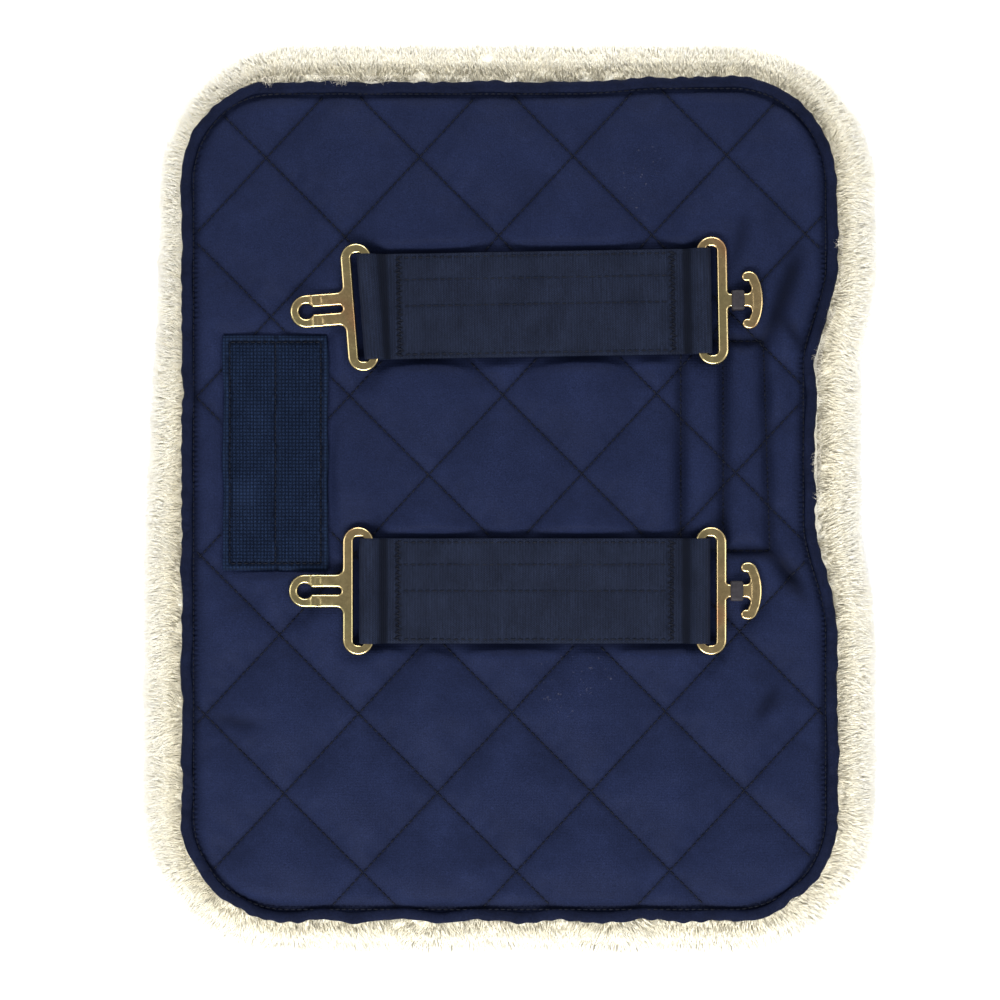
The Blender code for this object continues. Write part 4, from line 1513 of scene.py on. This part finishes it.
def plateau(value, start, end, edge):
    """In mm: 1 between start and end, 0 outside, with soft edges."""
    start, end, edge = start * MM, end * MM, edge * MM
    return between(value, (start, start + edge), (end - edge, end))


def tongue_relief(x, y):
    """Rails along the slot, then a dimple and a ridge across, and a lower ring round the eye."""
    rails = 0.10 * plateau(x, 15.4, 22.6, 1.5) * plateau(y, 2.4, 7.0, 1.4)
    dimple = 0.22 * plateau(x, 21.9, 25.6, 1.5) * plateau(y, 2.4, 7.4, 1.4)
    ridge = 0.10 * plateau(x, 24.8, 27.6, 1.3)
    tip = 0.26 * smooth_step(x, 26.4 * MM, 28.9 * MM)
    return MM * (rails - dimple + ridge - tip)


def head_relief(x, y):
    """A shallow hollow along the middle of the head."""
    hollow = plateau(x, 23.4, 27.4, 1.2) * (1 - smooth_step(y, 6 * MM, 9 * MM))
    return -0.18 * MM * hollow


def make_metal(body, outlines, relief, replaced):
    """A brass plate or hook; its piece and its hinge are named after its body."""
    metal = cast_piece(body + "_metal", outlines, relief)
    place_fitting(metal, body + "_swing")
    finish_piece(metal, BRASS, body, "antique_brass", replaced)


def make_stop(name):
    """The rubber sleeve on the hook's neck, slightly barrelled, open at both ends."""
    half_y, half_z, corner = 4.6 * MM, 2.75 * MM, 1.5 * MM
    bore_y, bore_z = NECK_HALF + 0.15 * MM, METAL_THICKNESS / 2 + 0.15 * MM

    def ring(x, hy, hz, r):
        points = []
        for number, (sy, sz) in enumerate(((1, 1), (-1, 1), (-1, -1), (1, -1))):
            centre = (sy * (hy - r), sz * (hz - r))
            points += arc(centre, r, number * math.pi / 2, (number + 1) * math.pi / 2, 6)
        return [(x, y, z) for y, z in points]

    rings = []
    for t in np.linspace(0, 1, 13):
        end = min(t, 1 - t)
        shrink = 0.35 * MM * max(0.0, 1 - end / 0.09) - 0.12 * MM * math.sin(math.pi * t)
        shrink += 0.05 * MM * math.cos(t * 7 * 2 * math.pi)
        rings.append(ring(STOP_START + t * STOP_LENGTH, half_y - shrink, half_z - shrink, corner))
    for t in (1, 0):
        rings.append(ring(STOP_START + t * STOP_LENGTH, bore_y, bore_z, 0.4 * MM))
    stop = ring_loft(name + "_stop_rubber", np.array(rings))
    place_fitting(stop, name + "_hook_swing")
    finish_piece(stop, RUBBER, name + "_hook", "black_rubber", name + "_rubber_stop")


for strap_name in STRAPS:
    make_metal(strap_name + "_keyhole", [tongue_outline(), web_slot(), keyhole()],
               tongue_relief, strap_name + "_keyhole_plate")
    make_metal(strap_name + "_hook", [t_head_outline(), web_slot()],
               head_relief, strap_name + "_t_hook")
    make_stop(strap_name)


# ---------------------------------------------------------------- hook-and-loop tapes

def grid_sheet(low, high, columns, rows):
    """Points in even columns and rows over a box, and the faces between them."""
    xs, ys = np.linspace(low[0], high[0], columns), np.linspace(low[1], high[1], rows)
    points = np.stack(np.meshgrid(xs, ys, indexing="ij"), axis=-1).reshape(-1, 2)
    return points, grid_quads(columns, rows)


def hook_paths(low, high, middle):
    """Rows of hooks inside the front tape's hem, leaning by turns; none on its middle seam."""
    rng = np.random.default_rng(77)
    base = low[2] + 1.0 * MM
    paths = []
    for row, hx in enumerate(np.arange(low[0] + 4.2 * MM, high[0] - 4.0 * MM, 1.25 * MM)):
        if abs(hx - middle[0]) < 1.2 * MM:
            continue
        lean = (1 if row % 2 else -1) * 0.45 * MM
        for hy in np.arange(low[1] + 4.2 * MM, high[1] - 4.0 * MM, 1.25 * MM):
            jitter = rng.normal(size=2) * 0.10 * MM
            bx, by = hx + jitter[0], hy + jitter[1]
            paths.append([(bx, by, base), (bx, by, base + 0.62 * MM),
                          (bx + 0.05 * MM, by + lean, base + 0.80 * MM),
                          (bx + 0.05 * MM, by + 1.5 * lean, base + 0.50 * MM)])
    return paths


def make_front_tape():
    """A woven base with a plain selvedge and rows of tiny hooks."""
    low, high = FRONT_TAPE_LOW, FRONT_TAPE_HIGH
    points, quads = grid_sheet(low, high, 90, 200)
    middle = FRONT_TAPE[0]
    edge = -rectangle_distance(points, *FRONT_TAPE)
    seam = np.minimum(np.abs(edge - TAPE_HEM), np.abs(points[:, 0] - middle[0]))
    top = low[2] + 0.75 * MM + 0.35 * MM * smooth_step(edge, 0, 1.2 * MM)
    top += 0.25 * MM * ripple(points, 40 * MM, 61) * smooth_step(edge, 0, 5 * MM)
    top -= 0.50 * MM * bell(seam, 0.9 * MM)
    points[:, 0] += 0.22 * MM * ripple(points, 30 * MM, 62)
    tape = close_sheet("front_tape_base", np.column_stack([points, top]), quads,
                       np.column_stack([points, np.full(len(points), low[2] - 0.3 * MM)]))
    ragged = 1 + 0.5 * ripple(points, 3 * MM, 63)
    # Painted shade along the tape's stitched seams, with ragged edges
    add_attribute(tape, "shade", np.tile(0.85 * bell(seam, 0.8 * MM * ragged), 2))
    finish_piece(tape, TAPE, "pad", "hook_tape", "front_hook_tape")
    hooks = many_tubes("front_tape_hooks", hook_paths(low, high, middle), 0.17 * MM, 4)
    finish_piece(hooks, TAPE, "pad", "hook_tape")
    (left, bottom), (right, top) = low[:2] + TAPE_HEM, high[:2] - TAPE_HEM
    corners = [(left, bottom), (right, bottom), (right, top), (left, top)]
    lines = list(zip(corners, corners[1:] + corners[:1]))
    lines.append(((middle[0], bottom), (middle[0], top)))
    paths = []
    for start, end in lines:
        paths += stitch_paths(start, end, *TAPE_STITCH, low[2] + 1.0 * MM)
    make_threads("front_tape_thread", paths, FINE_THREAD)


def make_reverse_tape():
    """The loop side on the fleece: a base with a rippled nap that faces down."""
    low, high = REVERSE_LOW, REVERSE_HIGH
    points, quads = grid_sheet(low, high, 60, 130)
    nap = low[2] + 0.35 * MM + 0.12 * MM * ripple(points, 2.2 * MM, 71, 24)
    tape = close_sheet("reverse_tape", np.column_stack([points, np.full(len(points), high[2])]),
                       quads, np.column_stack([points, nap]))
    finish_piece(tape, TAPE, "pad", "hook_tape", "reverse_loop_tape")


make_front_tape()
make_reverse_tape()


# ---------------------------------------------------------------- floor, light and camera

def make_floor():
    bpy.ops.mesh.primitive_plane_add(size=8.0, location=(0, 0, -0.4 * MM))
    floor = bpy.context.object
    floor.name = "floor"
    g = Graph("floor", roughness=0.9, colour=(0.92, 0.92, 0.92))
    floor.data.materials.append(g.material)


def make_world():
    """Pale all round and dimmer overhead, so that flat metal seen from above isn't burnt out."""
    world = bpy.data.worlds.new("studio")
    bpy.context.scene.world = world
    world.use_nodes = True
    nodes, links = world.node_tree.nodes, world.node_tree.links
    coordinates = nodes.new("ShaderNodeTexCoord")
    split = nodes.new("ShaderNodeSeparateXYZ")
    ramp = nodes.new("ShaderNodeValToRGB")
    links.new(coordinates.outputs["Generated"], split.inputs[0])
    links.new(split.outputs["Z"], ramp.inputs["Fac"])
    set_stops(ramp, [(0.0, 0.95), (0.68, 0.85), (0.86, 0.42), (1.0, 0.34)])
    background = nodes["Background"]
    links.new(ramp.outputs["Color"], background.inputs["Color"])
    background.inputs["Strength"].default_value = 0.88


def add_softbox(name, location, size, power):
    light = bpy.data.lights.new(name, "AREA")
    light.shape = "RECTANGLE"
    light.size, light.size_y = size
    light.energy = power
    obj = add_object(name, light)
    obj.location = location
    obj.rotation_euler = (Vector((0, 0, 0)) - Vector(location)).to_track_quat("-Z", "Y").to_euler()


def make_camera():
    """Straight above the pad, far enough for its sides to stay upright."""
    width, lens, sensor = 0.472, 100.0, 36.0  # metres seen across; lens and sensor in mm
    camera = bpy.data.cameras.new("camera")
    camera.lens, camera.sensor_width = lens, sensor
    obj = add_object("camera", camera)
    obj.location = (-4.5 * MM, -0.5 * MM, FACE_TOP + width * lens / sensor)
    bpy.context.scene.camera = obj


make_floor()
make_world()
add_softbox("front_box", location=(-0.15, -1.15, 1.00), size=(1.2, 0.6), power=37)
add_softbox("back_box", location=(0.1, 1.20, 0.50), size=(1.3, 0.5), power=16)
add_softbox("left_box", location=(-1.25, 0.1, 0.90), size=(0.6, 1.2), power=6)
add_softbox("right_box", location=(1.25, -0.1, 0.90), size=(0.6, 1.2), power=7)
make_camera()
bpy.context.scene.view_settings.view_transform = "Standard"
